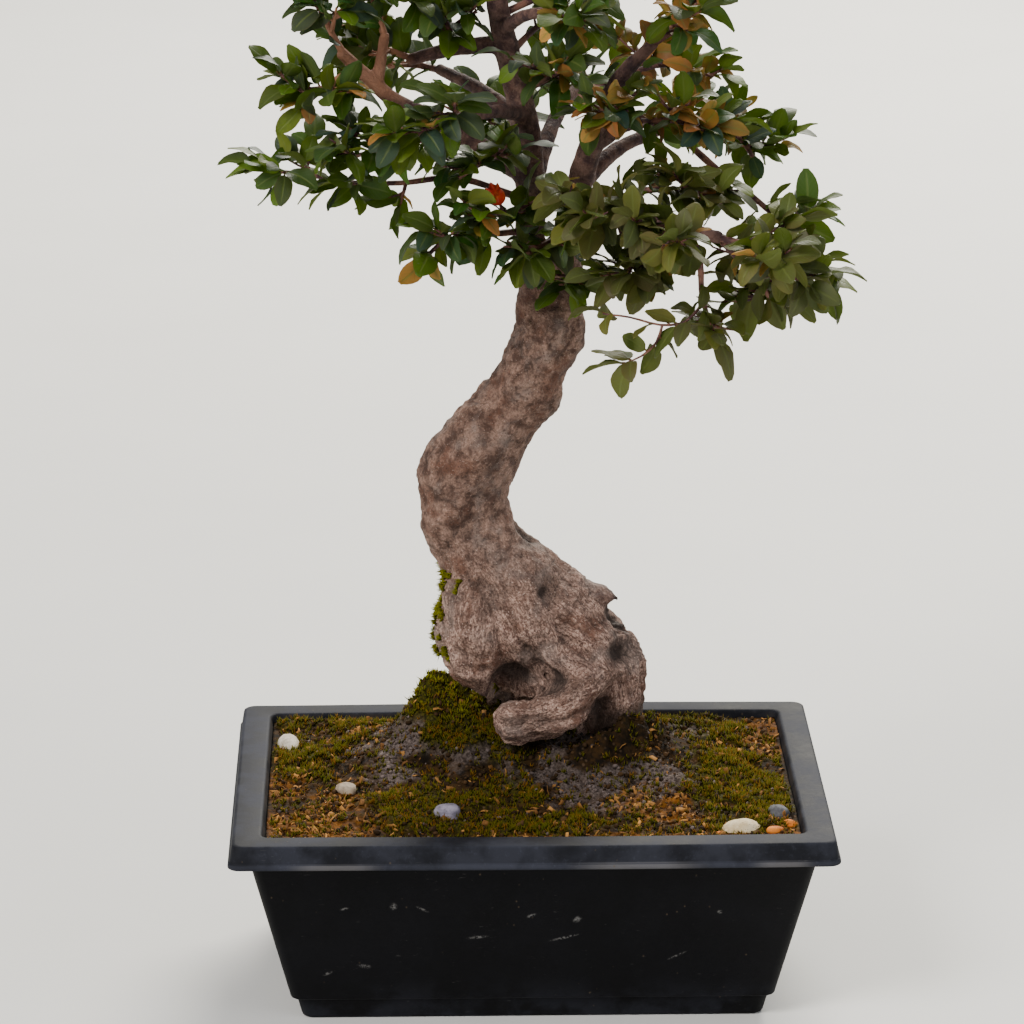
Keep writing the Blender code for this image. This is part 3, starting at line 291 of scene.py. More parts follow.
class Finish:
    # a material, whose nodes are added one call at a time
    def __init__(self, name):
        self.material = bpy.data.materials.new(name)
        self.material.use_nodes = True
        self.tree = self.material.node_tree
        self.tree.nodes.clear()

    def node(self, kind, settings=None, sockets=None, output=0):
        made = self.tree.nodes.new(kind)
        for key, value in (settings or {}).items():
            setattr(made, key, value)
        for key, value in (sockets or {}).items():
            if isinstance(value, Wire):
                self.tree.links.new(value.socket, made.inputs[key])
            else:
                made.inputs[key].default_value = value
        return Wire(self, made.outputs[output]) if made.outputs else None

    def places(self):
        # the surface's own coordinates in millimetres
        raw = self.node("ShaderNodeTexCoord", output="Object")
        return self.scaled(raw, 1 / mm)

    def scaled(self, vector, by):
        return self.node("ShaderNodeVectorMath", {"operation": "SCALE"}, {0: vector, "Scale": by})

    def stretched(self, vector, by):
        return self.node("ShaderNodeVectorMath", {"operation": "MULTIPLY"}, {0: vector, 1: by})

    def axis(self, vector, letter):
        return self.node("ShaderNodeSeparateXYZ", None, {0: vector}, letter)

    def field(self, name, output="Fac"):
        return self.node("ShaderNodeAttribute", {"attribute_name": name}, None, output)

    def noise(self, vector, size, detail=3.0, roughness=0.55):
        sockets = {"Vector": vector, "Scale": 1 / size, "Detail": detail, "Roughness": roughness}
        return self.node("ShaderNodeTexNoise", None, sockets)

    def cells(self, vector, size):
        # distance to the nearest of one random spot in each cell
        return self.node("ShaderNodeTexVoronoi", None, {"Vector": vector, "Scale": 1 / size})

    def mix(self, factor, first, second):
        # first where the factor is 0, second where it is 1, both colours
        colours = [c if isinstance(c, Wire) else (*c, 1.0) for c in (first, second)]
        sockets = {0: factor, 6: colours[0], 7: colours[1]}
        return self.node("ShaderNodeMix", {"data_type": "RGBA"}, sockets, 2)

    def waves(self, value):
        return self.node("ShaderNodeMath", {"operation": "SINE"}, {0: value})

    def bump(self, height, distance, strength=1.0):
        # height counts in units of distance, which is in millimetres
        sockets = {"Height": height, "Distance": distance * mm, "Strength": strength}
        return self.node("ShaderNodeBump", None, sockets)

    def surface(self, colour, roughness, normal=None, specular=0.5, coat=0.0, glow=None):
        # the Principled shader; glow is the colour and share of the light that passes through the surface
        sockets = {"Base Color": colour, "Roughness": roughness, "Specular IOR Level": specular}
        if normal:
            sockets["Normal"] = normal
        if coat:
            sockets.update({"Coat Weight": coat, "Coat Roughness": 0.2})
        shader = self.node("ShaderNodeBsdfPrincipled", None, sockets)
        if glow:
            through = self.node("ShaderNodeBsdfTranslucent", None, {"Color": (*glow[0], 1.0)})
            shader = self.node("ShaderNodeMixShader", None, {0: glow[1], 1: shader, 2: through})
        self.node("ShaderNodeOutputMaterial", None, {"Surface": shader})
        return self.material


# Pot: a rounded rectangle carried along a profile, from the middle of the sole up, over the rim
# and down inside

potShape = dict(
    halfX=50.0, halfY=36.0, height=35.0,
    rimWidth=4.8, rimThickness=1.6, skirtHeight=4.0, skirtFlare=0.8, skirtWall=1.4,
    # the skirt's lower edge is a bead: how far in and how far up its two points are
    bead=((0.1, 0.9), (0.35, 1.1)),
    # flatEdge is how far the sole and the floor run in from their edges before their middle points
    topInset=2.7, baseInset=9.2, footHeight=4.0, footStep=0.9, floor=2.6, flatEdge=4.0,
    outerCorner=1.9, innerCorner=1.5, edgeRound=0.55, edgeSteps=4,
    cornerSteps=7, sideSteps=26, bow=0.16, wave=0.10, sharpAngle=50,
    drainX=(-25.0, 0.0, 25.0), drainY=(-11.0, 11.0), drainZ=(-2.0, 1.0, 4.5), drainRadius=2.2, drainSides=20,
)
wallSlope = (potShape["baseInset"] - potShape["topInset"]) / (
    potShape["height"] - potShape["skirtHeight"] - potShape["footHeight"]
)


def innerInset(z):
    # how far the inner wall stands in from the rim's outer edge at this height
    return potShape["rimWidth"] + wallSlope * (potShape["height"] - z)


def roundedProfile(corners, radius, steps):
    # the profile with each inner corner swapped for a quadratic curve that starts and ends this far from it
    rows = [corners[0]]
    for before, here, after in zip(corners, corners[1:], corners[2:]):
        reach = min(radius, 0.45 * np.linalg.norm(here - before), 0.45 * np.linalg.norm(after - here))
        start, end = here + unit(before - here) * reach, here + unit(after - here) * reach
        t = np.linspace(0, 1, steps)[:, None]
        rows += list((1 - t) ** 2 * start + 2 * t * (1 - t) * here + t**2 * end)
    return np.array(rows + [corners[-1]])


def rectangleRings(halfX, halfY, corner, cornerSteps, sideSteps):
    # One rounded rectangle for each row: four quarter circles of the corner's radius,
    # with evenly spaced points on the straight sides between them
    quarter = np.linspace(0, np.pi / 2, cornerSteps)
    arcs = []
    for k, (signX, signY) in enumerate(((1, 1), (-1, 1), (-1, -1), (1, -1))):
        angle = quarter + k * np.pi / 2
        x = signX * (halfX - corner)[:, None] + corner[:, None] * np.cos(angle)
        y = signY * (halfY - corner)[:, None] + corner[:, None] * np.sin(angle)
        arcs.append(np.stack([x, y], axis=-1))
    parts = []
    for arc, following in zip(arcs, arcs[1:] + arcs[:1]):
        t = np.linspace(0, 1, sideSteps + 2)[1:-1][None, :, None]
        parts += [arc, arc[:, -1:] * (1 - t) + following[:, :1] * t]
    return np.concatenate(parts, axis=1)


def makePot():
    s = potShape
    skirtZ = s["height"] - s["skirtHeight"]
    ceiling = s["height"] - s["rimThickness"]
    footInset = s["baseInset"] + s["footStep"]
    soleInset = footInset + wallSlope * s["footHeight"]
    corners = np.array([
        (soleInset + s["flatEdge"], 0.0),
        (soleInset, 0.0),
        (footInset, s["footHeight"]),
        (s["baseInset"], s["footHeight"]),
        (s["topInset"] - wallSlope * (ceiling - skirtZ), ceiling),
        (s["skirtWall"], ceiling),
        (s["skirtWall"] - s["skirtFlare"], skirtZ),
        (-s["skirtFlare"], skirtZ),
        *((inward - s["skirtFlare"], skirtZ + upward) for inward, upward in s["bead"]),
        (0.0, s["height"]),
        (s["rimWidth"], s["height"]),
        (innerInset(s["floor"]), s["floor"]),
        (innerInset(s["floor"]) + s["flatEdge"], s["floor"]),
    ])
    rows = roundedProfile(corners, s["edgeRound"], s["edgeSteps"])
    inset, z = rows[:, 0], rows[:, 1]
    outside = np.arange(len(rows)) < len(rows) - 2 * s["edgeSteps"]
    corner = np.where(outside, s["outerCorner"], s["innerCorner"])
    rings = rectangleRings(s["halfX"] - inset, s["halfY"] - inset, corner, s["cornerSteps"], s["sideSteps"])
    x, y = rings[..., 0], rings[..., 1]
    height = np.broadcast_to(z[:, None], x.shape)
    # the long walls bow a little and the rim isn't quite level, as thin moulded plastic does
    bow = s["bow"] * np.cos(np.pi * x / (2 * s["halfX"])) * (height / s["height"]) ** 2
    y = y + np.sign(y) * bow * np.clip(np.abs(y) / s["halfY"], 0, 1) ** 4
    lift = s["wave"] * np.sin(0.06 * x + 1.0) * np.sin(0.05 * y) * (height / s["height"]) ** 2
    points = np.stack([x, y, height + lift], axis=-1).reshape(-1, 3)
    middles = np.array([(0, 0, 0.0), (0, 0, s["floor"])])
    mesh = meshOf("potShell", np.vstack([points, middles]), closedGrid(*x.shape))
    pot = placed("potShell", mesh)
    lines = [[(dx, dy, z, s["drainRadius"]) for z in s["drainZ"]] for dx in s["drainX"] for dy in s["drainY"]]
    drains = [tube(np.array(line), s["drainSides"]) for line in lines]
    cutter = placed("drainCutter", meshOf("drainCutter", *stacked(drains)), None)
    cut = pot.modifiers.new("drains", "BOOLEAN")
    cut.operation, cut.solver, cut.object = "DIFFERENCE", "EXACT", cutter
    pot.data = evaluated(pot)
    pot.modifiers.clear()
    bpy.data.objects.remove(cutter, do_unlink=True)
    shadeSmooth(pot.data)
    pot.data.set_sharp_from_angle(angle=math.radians(s["sharpAngle"]))
    pot.data.materials.clear()
    pot.data.materials.append(potFinish())
    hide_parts("pot")
    print("pot", len(pot.data.polygons), "faces")


potMarks = dict(
    # pale scuffs on the front wall: x, z, half length, half height, slant
    scuffs=(
        (-31.6, 22.2, 0.9, 0.35, 0.2), (-23.4, 22.6, 0.8, 0.9, 0.0), (-18.6, 22.0, 1.3, 0.35, -0.5),
        (-0.4, 20.6, 1.1, 0.45, 0.3), (7.2, 19.8, 1.0, 0.8, 0.2), (-9.4, 16.4, 2.2, 0.4, 0.1),
        (5.2, 16.2, 3.2, 0.35, 0.25), (-28.4, 10.8, 1.6, 0.5, -0.1), (-34.5, 9.4, 1.0, 0.4, 0.4),
        (24.0, 12.4, 2.0, 0.3, 0.5), (31.0, 21.0, 0.6, 0.5, 0.0),
    ),
    # a pale rub on the long front lip: x, half length
    lipRubs=((17.0, 13.0), (-33.0, 9.0), (41.0, 6.0)),
)


def potFinish():
    # worn black moulded plastic, with grey-blue dust on its rim and lip, partly a painted sheen and
    # highlight, soil splashes and fine scratches
    f = Finish("wornBlackPlastic")
    p = f.places()
    x, y, z = (f.axis(p, letter) for letter in "XYZ")
    facing = f.axis(f.node("ShaderNodeNewGeometry", output="Normal"), "Z")
    clouds = f.noise(p, 9.0, 5.0, 0.62)
    fine = f.noise(p, 0.9, 4.0, 0.7)
    grit = f.noise(p, 0.28, 2.0, 0.6)
    rimBand = z.between(30.6, 31.6)
    level = facing.between(0.35, 0.95)
    bead = z.between(30.9, 31.15) * (1 - z.between(31.9, 32.3)) * (1 - level)
    # painted light: the rim band's grey-blue, strongest on its upward faces, is dust and a painted sheen of
    # the sky; the bead's share is a painted highlight along the lip's lower edge
    dustAndSheen = rimBand * (0.17 + 0.06 * level) + 0.01 * (1 - rimBand)
    dustAndSheen = dustAndSheen * (0.45 + 1.1 * clouds.between(0.36, 0.66)) + 0.14 * bead
    low = (1 - z.between(1.0, 9.0)) * clouds.between(0.40, 0.62) * 0.10
    dustAndSheen = dustAndSheen + low + 0.10 * fine.between(0.55, 0.72) * rimBand
    scratchNoise = f.noise(f.stretched(p, (0.35, 1.0, 3.2)), 0.55, 3.0, 0.6)
    scratches = scratchNoise.between(0.66, 0.74) * f.noise(p, 6.0, 2.0).between(0.5, 0.64) * 0.35
    front = 1 - y.between(-30.0, -22.0)
    scuff = 0.0
    for cx, cz, halfLong, halfHigh, slant in potMarks["scuffs"]:
        along, across = (x - cx) / halfLong, (z - cz - (x - cx) * slant) / halfHigh
        away = (along * along + across * across) ** 0.5
        scuff = (1 - away.between(0.15, 1.0)) + scuff
    scuff = scuff * front * (1 - rimBand) * f.noise(p, 0.45, 3.0, 0.7).between(0.40, 0.60)
    rub = 0.0
    for cx, halfLong in potMarks["lipRubs"]:
        rub = (1 - ((x - cx).size() / halfLong).between(0.3, 1.0)) + rub
    rub = rub * front * bead * 0.22
    splash = f.cells(f.stretched(p, (1.0, 1.0, 0.8)), 1.5).between(0.16, 0.05)
    splash = splash * f.noise(p, 5.0, 2.0).between(0.54, 0.66) * 0.5
    withinRim = x.size().between(46.0, 45.0) * y.size().between(32.0, 31.0)
    inner = z.between(31.0, 34.0) * (1 - level) * withinRim
    colour = f.mix(clouds, (0.0010, 0.0010, 0.0014), (0.0032, 0.0031, 0.0040))
    # the grey-blue of the dust and of the painted sheen and highlight
    colour = f.mix(dustAndSheen, colour, (0.088, 0.094, 0.128))
    colour = f.mix(rub, colour, (0.33, 0.31, 0.30))
    colour = f.mix((scuff + scratches).least(1.0) * 0.50, colour, (0.26, 0.25, 0.24))
    colour = f.mix(splash, colour, (0.10, 0.072, 0.045))
    colour = f.mix(inner * clouds.between(0.40, 0.60) * 0.6, colour, (0.045, 0.034, 0.024))
    roughness = 0.50 + 0.26 * dustAndSheen.least(1.0) + 0.14 * clouds + 0.10 * fine
    height = 0.5 * grit + 0.8 * fine + 2.0 * splash + 0.6 * scuff
    normal = f.bump(height, 0.05, 0.55)
    return f.surface(colour, roughness, normal, specular=0.11)


# Soil: a block that fills the pot, with moss, grey clay and rusty litter in patches

soilShape = dict(
    edgeZ=33.7, edgeBand=9.0, ripple=0.45, gap=0.3, foot=2.9, columns=250, rows=172,
    # x, y, height, spread in x, spread in y
    mounds=((2.0, 10.0, 7.6, 26.0, 16.0), (-17.5, 13.0, 6.0, 5.0, 6.5), (-26.0, 4.0, 1.2, 9.0, 9.0),
            (30.0, -2.0, 1.0, 10.0, 9.0)),
    # mossy lumps against the left side of the trunk's foot: x, y, height, spread
    cushions=((-17.8, 13.0, 1.7, 2.6), (-14.0, 12.5, 3.3, 2.8), (-10.6, 10.6, 5.0, 3.0),
              (-19.8, 10.0, 1.2, 2.4), (-15.4, 8.4, 2.2, 2.4), (-12.0, 5.6, 2.0, 2.4),
              (-16.6, 4.2, 1.4, 2.2), (-9.0, 2.4, 1.3, 2.2), (-12.6, 0.6, 1.0, 2.2)),
    # dark bare earth banked up under the right side of the trunk's foot, as painted shade under the wood
    banks=((9.2, -3.2, 2.0, 2.6), (12.5, -1.0, 4.3, 2.8), (16.4, 1.2, 4.8, 2.8), (19.8, 4.4, 4.4, 2.9),
           (21.6, 9.0, 3.0, 2.8)),
    # the painted shade on the ground round the trunk: its middle, and its half width and half depth
    trunkShadeArea=dict(x=3.0, y=2.0, wide=24.0, deep=16.0),
)
# x, y, half length, half width of each patch
soilPatches = dict(
    clay=((-21.0, 9.0, 7.5, 15.0), (13.0, -5.0, 13.0, 12.0), (-12.5, 0.5, 4.5, 6.0), (26.0, 18.0, 6.0, 8.0)),
    moss=((-21.0, -16.5, 6.0, 7.0), (-4.0, 5.0, 9.0, 9.0), (2.0, -24.0, 15.0, 5.0), (36.0, -9.0, 9.0, 13.0),
          (31.5, 20.0, 6.0, 9.0), (-38.0, 9.0, 7.0, 9.0), (-17.5, 13.5, 6.5, 8.0), (-31.0, 27.0, 9.0, 4.0),
          (-8.0, -13.0, 8.0, 5.0), (0.0, 27.0, 22.0, 5.0), (18.0, 9.0, 6.0, 8.0), (-2.0, 17.0, 24.0, 9.0)),
    rust=((-36.0, -20.0, 10.0, 11.0), (40.5, 20.0, 5.0, 12.0), (23.0, -18.0, 7.0, 8.0),
          (-25.0, 25.0, 6.0, 5.0), (42.0, -26.5, 6.0, 4.0), (-42.0, -4.0, 3.5, 9.0), (8.0, -29.5, 40.0, 1.8)),
)


def soilHalf(gap=0.0):
    # half the length and half the width of the soil's top, this far inside the pot's wall
    inset = innerInset(soilShape["edgeZ"])
    return potShape["halfX"] - inset - gap, potShape["halfY"] - inset - gap


def fromWall(x, y):
    # how far each spot is from the nearest wall
    halfX, halfY = soilHalf()
    return np.minimum(halfX - np.abs(x), halfY - np.abs(y))


def soilHeight(x, y):
    # level at the pot's wall, mounded round the trunk by bell curves, with low ripples
    s = soilShape
    ease = ramp(fromWall(x, y), 0.0, s["edgeBand"])
    rise = 0.0
    for cx, cy, height, spreadX, spreadY in s["mounds"]:
        rise = rise + height * np.exp(-(((x - cx) / spreadX) ** 2) - ((y - cy) / spreadY) ** 2)
    ripple = np.sin(0.41 * x + 1.3 * np.sin(0.23 * y)) * np.cos(0.37 * y + 0.9 * np.sin(0.31 * x))
    return s["edgeZ"] + ease * rise + s["ripple"] * ripple * (0.35 + 0.65 * ease)


def patchShare(x, y, kind, seed):
    # 1 well inside a patch of this kind, 0 outside, with a ragged edge
    ragged = 0.62 * roughNoise(flatPoints(x, y), 4.2, 4, seed)
    best = np.full(len(x), -9.0)
    for cx, cy, rx, ry in soilPatches[kind]:
        best = np.maximum(best, 1.0 - np.hypot((x - cx) / rx, (y - cy) / ry))
    return ramp(best + ragged, -0.25, 0.42)


def bells(x, y, kind):
    # bell-shaped lumps with a rough skin
    rise = 0.0
    for cx, cy, height, spread in soilShape[kind]:
        rise = rise + height * np.exp(-((np.hypot(x - cx, y - cy) / spread) ** 2))
    return rise * (1 + 0.35 * roughNoise(flatPoints(x, y), 1.8, 2, 99))


def soilMasks(x, y):
    # how much moss, grey clay and rusty litter there is at each spot, from 0 to 1
    clay = patchShare(x, y, "clay", 52)
    moss = patchShare(x, y, "moss", 41) * (1 - 0.85 * clay)
    mound = ramp(bells(x, y, "cushions"), 0.35, 1.1)
    # painted shade: the banks lose their clay, rust and most of their moss, so they show dark bare earth
    # under the wood
    bank = ramp(bells(x, y, "banks"), 0.30, 1.0)
    clay, moss = clay * (1 - mound) * (1 - bank), np.maximum(moss, mound) * (1 - 0.8 * bank)
    rust = patchShare(x, y, "rust", 63) * (1 - 0.5 * moss) * (1 - bank)
    return moss, clay, rust


def soilSurface(x, y):
    # the ground's height, with its crumbs, clay plates, moss cushions, hump and bank raised on it
    moss, clay, rust = soilMasks(x, y)
    flat = flatPoints(x, y)
    _, plateGap = crackNoise(flat + 0.5 * roughNoise(flat, 1.6, 2, 5)[:, None], 3.4, 71)
    plates = 0.55 * ramp(plateGap, 0.02, 0.16) + 0.20 * roughNoise(flat, 0.9, 2, 74)
    crumble = 0.34 * roughNoise(flat, 2.6, 4, 81) + 0.22 * roughNoise(flat, 0.8, 2, 85)
    near, _ = crackNoise(flat, 2.7, 91)
    cushions = 0.95 * np.sqrt(np.clip(1.0 - near**2, 0.0, 1.0)) + 0.16 * roughNoise(flat, 1.0, 2, 95)
    lift = clay * plates + moss * cushions + (1 - clay) * (1 - 0.6 * moss) * crumble
    lift = lift + bells(x, y, "cushions") + bells(x, y, "banks")
    return soilHeight(x, y) + lift * ramp(fromWall(x, y), -1.5, 2.5), moss, clay, rust


def makeSoil():
    s = soilShape
    halfX, halfY = soilHalf(s["gap"])
    x, y = np.meshgrid(np.linspace(-halfX, halfX, s["columns"]), np.linspace(-halfY, halfY, s["rows"]))
    x, y = x.ravel(), y.ravel()
    z, moss, clay, rust = soilSurface(x, y)
    top = np.stack([x, y, z], axis=1)
    # the walls follow the pot's inside down to the block's sole
    index = np.arange(len(top)).reshape(s["rows"], s["columns"])
    border = np.concatenate([index[0, :-1], index[:-1, -1], index[-1, :0:-1], index[:0:-1, 0]])
    shrink = innerInset(s["foot"]) - innerInset(s["edgeZ"])
    sole = top[border] * np.array([(halfX - shrink) / halfX, (halfY - shrink) / halfY, 0.0])
    sole[:, 2] = s["foot"]
    first, second = np.arange(len(border)), np.roll(np.arange(len(border)), -1)
    base = len(top)
    walls = np.stack([base + first, base + second, border[second], border[first]], axis=1)
    middle = base + len(border)
    under = np.stack([np.full(len(border), middle), base + second, base + first], axis=1)
    points = np.vstack([top, sole, [[0.0, 0.0, s["foot"]]]])
    mesh = meshOf("soilGround", points, [under, gridQuads(s["rows"], s["columns"], False), walls])
    rest = np.zeros(len(border) + 1)
    for name, values in (("moss", moss), ("clay", clay), ("rust", rust)):
        setField(mesh, name, np.concatenate([values, rest]))
    shadeSmooth(mesh)
    ground = placed("soilGround", mesh)
    mesh.materials.append(soilFinish())
    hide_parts("soil")
    print("soil", len(mesh.polygons), "faces")


def paintedTrunkShade(f, p):
    # painted shade: the share of its colour that the ground keeps, 1 away from the trunk and less beside it
    s = soilShape["trunkShadeArea"]
    across, along = (f.axis(p, "X") - s["x"]) / s["wide"], (f.axis(p, "Y") - s["y"]) / s["deep"]
    return 0.58 + 0.42 * ((across * across + along * along) ** 0.5).between(0.35, 1.25)


def soilFinish():
    # dark crumbs, grey clay that is paler where it is dry, rusty litter and the damp green under the moss,
    # with painted shade round the trunk
    f = Finish("mossySoil")
    p = f.places()
    broad, middle, fine = f.noise(p, 7.0, 4.0), f.noise(p, 1.7, 4.0, 0.62), f.noise(p, 0.45, 3.0, 0.65)
    grains = f.cells(p, 0.75)
    speckle = f.cells(p, 1.3).between(0.30, 0.12)
    moss, clay, rust = f.field("moss"), f.field("clay"), f.field("rust")
    earth = f.mix(middle.between(0.35, 0.68), (0.006, 0.0032, 0.0012), (0.050, 0.024, 0.006))
    earth = f.mix(speckle * broad.between(0.42, 0.62) * 0.6, earth, (0.16, 0.095, 0.05))
    dry = f.mix(fine.between(0.34, 0.70), (0.042, 0.031, 0.028), (0.200, 0.154, 0.138))
    dry = f.mix(broad.between(0.50, 0.66) * 0.4, dry, (0.095, 0.060, 0.036))
    rusty = f.mix(middle.between(0.36, 0.66), (0.050, 0.016, 0.002), (0.260, 0.095, 0.009))
    green = f.mix(fine.between(0.34, 0.68), (0.010, 0.010, 0.001), (0.075, 0.066, 0.002))
    colour = f.mix(clay * 0.9, earth, dry)
    colour = f.mix(rust * (0.55 + 0.45 * broad), colour, rusty)
    colour = f.mix(moss * 0.9, colour, green)
    # painted shade: the ground is darkened round the trunk
    colour = f.mix(paintedTrunkShade(f, p), (0.004, 0.003, 0.002), colour)
    height = fine + 0.8 * (1 - grains) + 0.7 * middle
    normal = f.bump(height, 0.16, 0.8)
    roughness = 0.80 + 0.16 * middle - 0.18 * (1 - clay) * speckle
    return f.surface(colour, roughness, normal, specular=0.12)


# Small things scattered on the soil

def randomTurns(rng, count):
    # one random rotation matrix for each thing, from unit quaternions
    w, x, y, z = unit(rng.normal(size=(count, 4))).T
    rows = [1 - 2 * (y * y + z * z), 2 * (x * y - w * z), 2 * (x * z + w * y),
            2 * (x * y + w * z), 1 - 2 * (x * x + z * z), 2 * (y * z - w * x),
            2 * (x * z - w * y), 2 * (y * z + w * x), 1 - 2 * (x * x + y * y)]
    return np.stack(rows, axis=1).reshape(count, 3, 3)


def crumbShape():
    # an icosahedron: two poles and two staggered rings of five
    i, j = np.arange(5), np.roll(np.arange(5), -1)
    turns = [i * 2 * np.pi / 5, i * 2 * np.pi / 5 + np.pi / 5]
    rings = [np.stack([0.894 * np.cos(turn), 0.894 * np.sin(turn), np.full(5, z)], axis=1)
             for turn, z in zip(turns, (0.447, -0.447))]
    points = np.vstack([[[0, 0, 1.0]], *rings, [[0, 0, -1.0]]])
    faces = [np.stack([0 * i, 1 + i, 1 + j], axis=1), np.stack([1 + i, 6 + i, 1 + j], axis=1),
             np.stack([1 + j, 6 + i, 6 + j], axis=1), np.stack([0 * i + 11, 6 + j, 6 + i], axis=1)]
    return points, np.vstack(faces)


def flakeShape():
    # a thin curled flake: two bent sheets of six points, joined round their edge
    x, y = np.meshgrid([-1.0, 0.0, 1.0], [-0.6, 0.6], indexing="ij")
    bend = 0.30 * (1 - x.ravel() ** 2)
    sheet = np.stack([x.ravel(), y.ravel(), bend], axis=1)
    points = np.vstack([sheet + [0, 0, 0.09], sheet - [0, 0, 0.09]])
    top = np.array([(0, 2, 3, 1), (2, 4, 5, 3)])
    rim = np.array([0, 2, 4, 5, 3, 1])
    nextRim = np.roll(rim, -1)
    sides = np.stack([rim, rim + 6, nextRim + 6, nextRim], axis=1)
    return points, np.vstack([top, top[:, ::-1] + 6, sides])


def scattered(shape, centres, sizes, turns, rng, roughness):
    # copies of one shape, each scaled, roughened, turned and moved, as whole arrays
    points, faces = shape
    uneven = 1 + roughness * rng.uniform(-1, 1, (len(centres), len(points), 1))
    local = points[None] * sizes[:, None, :] * uneven
    world = np.einsum("nij,npj->npi", turns, local) + centres[:, None]
    numbered = faces[None] + (np.arange(len(centres)) * len(points))[:, None, None]
    return world.reshape(-1, 3), numbered.reshape(-1, faces.shape[1])


def soilSpots(rng, count, kind):
    # random spots on the soil in clumps, kept most where a patch of this kind is strong and few elsewhere
    halfX, halfY = soilHalf(1.0)
    x, y = rng.uniform(-halfX, halfX, count), rng.uniform(-halfY, halfY, count)
    chance = dict(zip(("moss", "clay", "rust"), soilMasks(x, y)))
    clump = ramp(roughNoise(flatPoints(x, y), 2.2, 3, 17), -0.25, 0.35)
    share = (chance[kind] + 0.16) * (0.25 + 0.75 * clump) if kind in chance else np.ones(count)
    kept = rng.uniform(size=count) < share
    x, y = x[kept], y[kept]
    return np.stack([x, y, soilSurface(x, y)[0]], axis=1)


litterKinds = {
    # piece: shape, spots tried, the patch it keeps to, least and greatest size, squash,
    # darkest and palest colour
    "soilCrumbs": (crumbShape(), 3200, "all", (0.20, 0.62), (1.0, 0.85, 0.75),
                   ((0.008, 0.0045, 0.002), (0.090, 0.046, 0.018))),
    "clayCrumbs": (crumbShape(), 3600, "clay", (0.16, 0.52), (1.0, 0.9, 0.6),
                   ((0.030, 0.022, 0.020), (0.230, 0.175, 0.160))),
    "rustFlakes": (flakeShape(), 9000, "rust", (0.16, 0.85), (1.0, 0.7, 0.9),
                   ((0.055, 0.018, 0.005), (0.560, 0.270, 0.075))),
}


def litterFinish(name, low, high):
    # each grain or flake has its own colour between two, with fine mottling and painted shade round the trunk
    f = Finish(name)
    p = f.places()
    mottle = f.noise(p, 0.5, 3.0, 0.6)
    tone = (f.field("tone") * 0.75 + mottle * 0.35).least(1.0)
    # painted shade: the litter is darkened round the trunk
    colour = f.mix(paintedTrunkShade(f, p), (0.004, 0.003, 0.002), f.mix(tone, low, high))
    normal = f.bump(mottle, 0.08, 0.5)
    return f.surface(colour, 0.85, normal, specular=0.12)


def makeLitter():
    rng = np.random.default_rng(7)
    spotsOf = {name: soilSpots(rng, kind[1], kind[2]) for name, kind in litterKinds.items()}
    for name, (shape, _, _, (small, large), squash, (low, high)) in litterKinds.items():
        spots = spotsOf[name]
        size = small + (large - small) * rng.uniform(0, 1, len(spots)) ** 1.8
        sizes = size[:, None] * np.array(squash) * rng.uniform(0.7, 1.2, (len(spots), 3))
        spots[:, 2] += 0.35 * size
        points, faces = scattered(shape, spots, sizes, randomTurns(rng, len(spots)), rng, 0.16)
        mesh = meshOf(name, points, [faces])
        setField(mesh, "tone", np.repeat(rng.uniform(0, 1, len(spots)) ** 1.6, len(shape[0])))
        mesh.materials.append(litterFinish(name + "Finish", low, high))
        placed(name, mesh)
        print(name, len(spots), "pieces", len(faces), "faces")


# Moss: tufts of thin spikes, each a three-sided pyramid that leans out from its tuft's middle

mossShape = dict(
    # spots tried on the soil, spots taken on each mossy part of the bark, and spikes at each spot
    soilSpots=24000, barkSpots=620, spikes=4, widths=(0.10, 0.20), sunk=0.1,
    # how far the spikes stand apart, their lengths, and how much they lean
    onSoil=(0.22, (0.45, 1.25), 0.45), onBark=(0.15, (0.5, 1.35), 0.4),
)


def mossSpikes(roots, normals, rng, lengths, spread):
    # each pyramid's foot is a ring of three points a little under the surface
    lean = unit(normals + spread * rng.normal(size=roots.shape))
    length = rng.uniform(*lengths, len(roots))
    side = unit(np.cross(lean, rng.normal(size=roots.shape)))
    other = np.cross(lean, side)
    angle = np.arange(3) * 2 * np.pi / 3
    wide = rng.uniform(*mossShape["widths"], len(roots))[:, None, None]
    ring = side[:, None] * np.cos(angle)[None, :, None] + other[:, None] * np.sin(angle)[None, :, None]
    tips = roots + lean * length[:, None]
    feet = (roots - mossShape["sunk"] * lean)[:, None] + wide * ring
    points = np.concatenate([feet, tips[:, None]], axis=1)
    faces = np.array([(0, 2, 1), (0, 1, 3), (1, 2, 3), (2, 0, 3)])
    numbered = faces[None] + (np.arange(len(roots)) * 4)[:, None, None]
    return points.reshape(-1, 3), numbered.reshape(-1, 3)


def mossFinish():
    # yellow-green at each spike's tip, brightest on the high cushions as painted backlight, dark olive at its
    # foot, with brown dry tufts here and there
    f = Finish("mossGreen")
    p = f.places()
    tip, tone = f.field("tip"), f.field("tone")
    high = f.axis(p, "Z").between(41.0, 47.0)
    patch = f.noise(p, 3.2, 3.0, 0.6)
    bright = (tip * 0.75 + 0.45 * patch - 0.15).least(1.0)
    colour = f.mix(bright, (0.009, 0.010, 0.0004), (0.190, 0.165, 0.003))
    colour = f.mix(tone.between(0.62, 0.92) * 0.85, colour, (0.220, 0.085, 0.006))
    colour = f.mix(patch.between(0.56, 0.70) * 0.6, colour, (0.050, 0.085, 0.004))
    # painted backlight: the tips high on the cushions are lightened
    colour = f.mix(high * tip * (0.35 + 0.65 * patch.between(0.40, 0.60)), colour, (0.360, 0.370, 0.006))
    return f.surface(colour, 0.8, specular=0.1, glow=((0.30, 0.34, 0.01), 0.25))


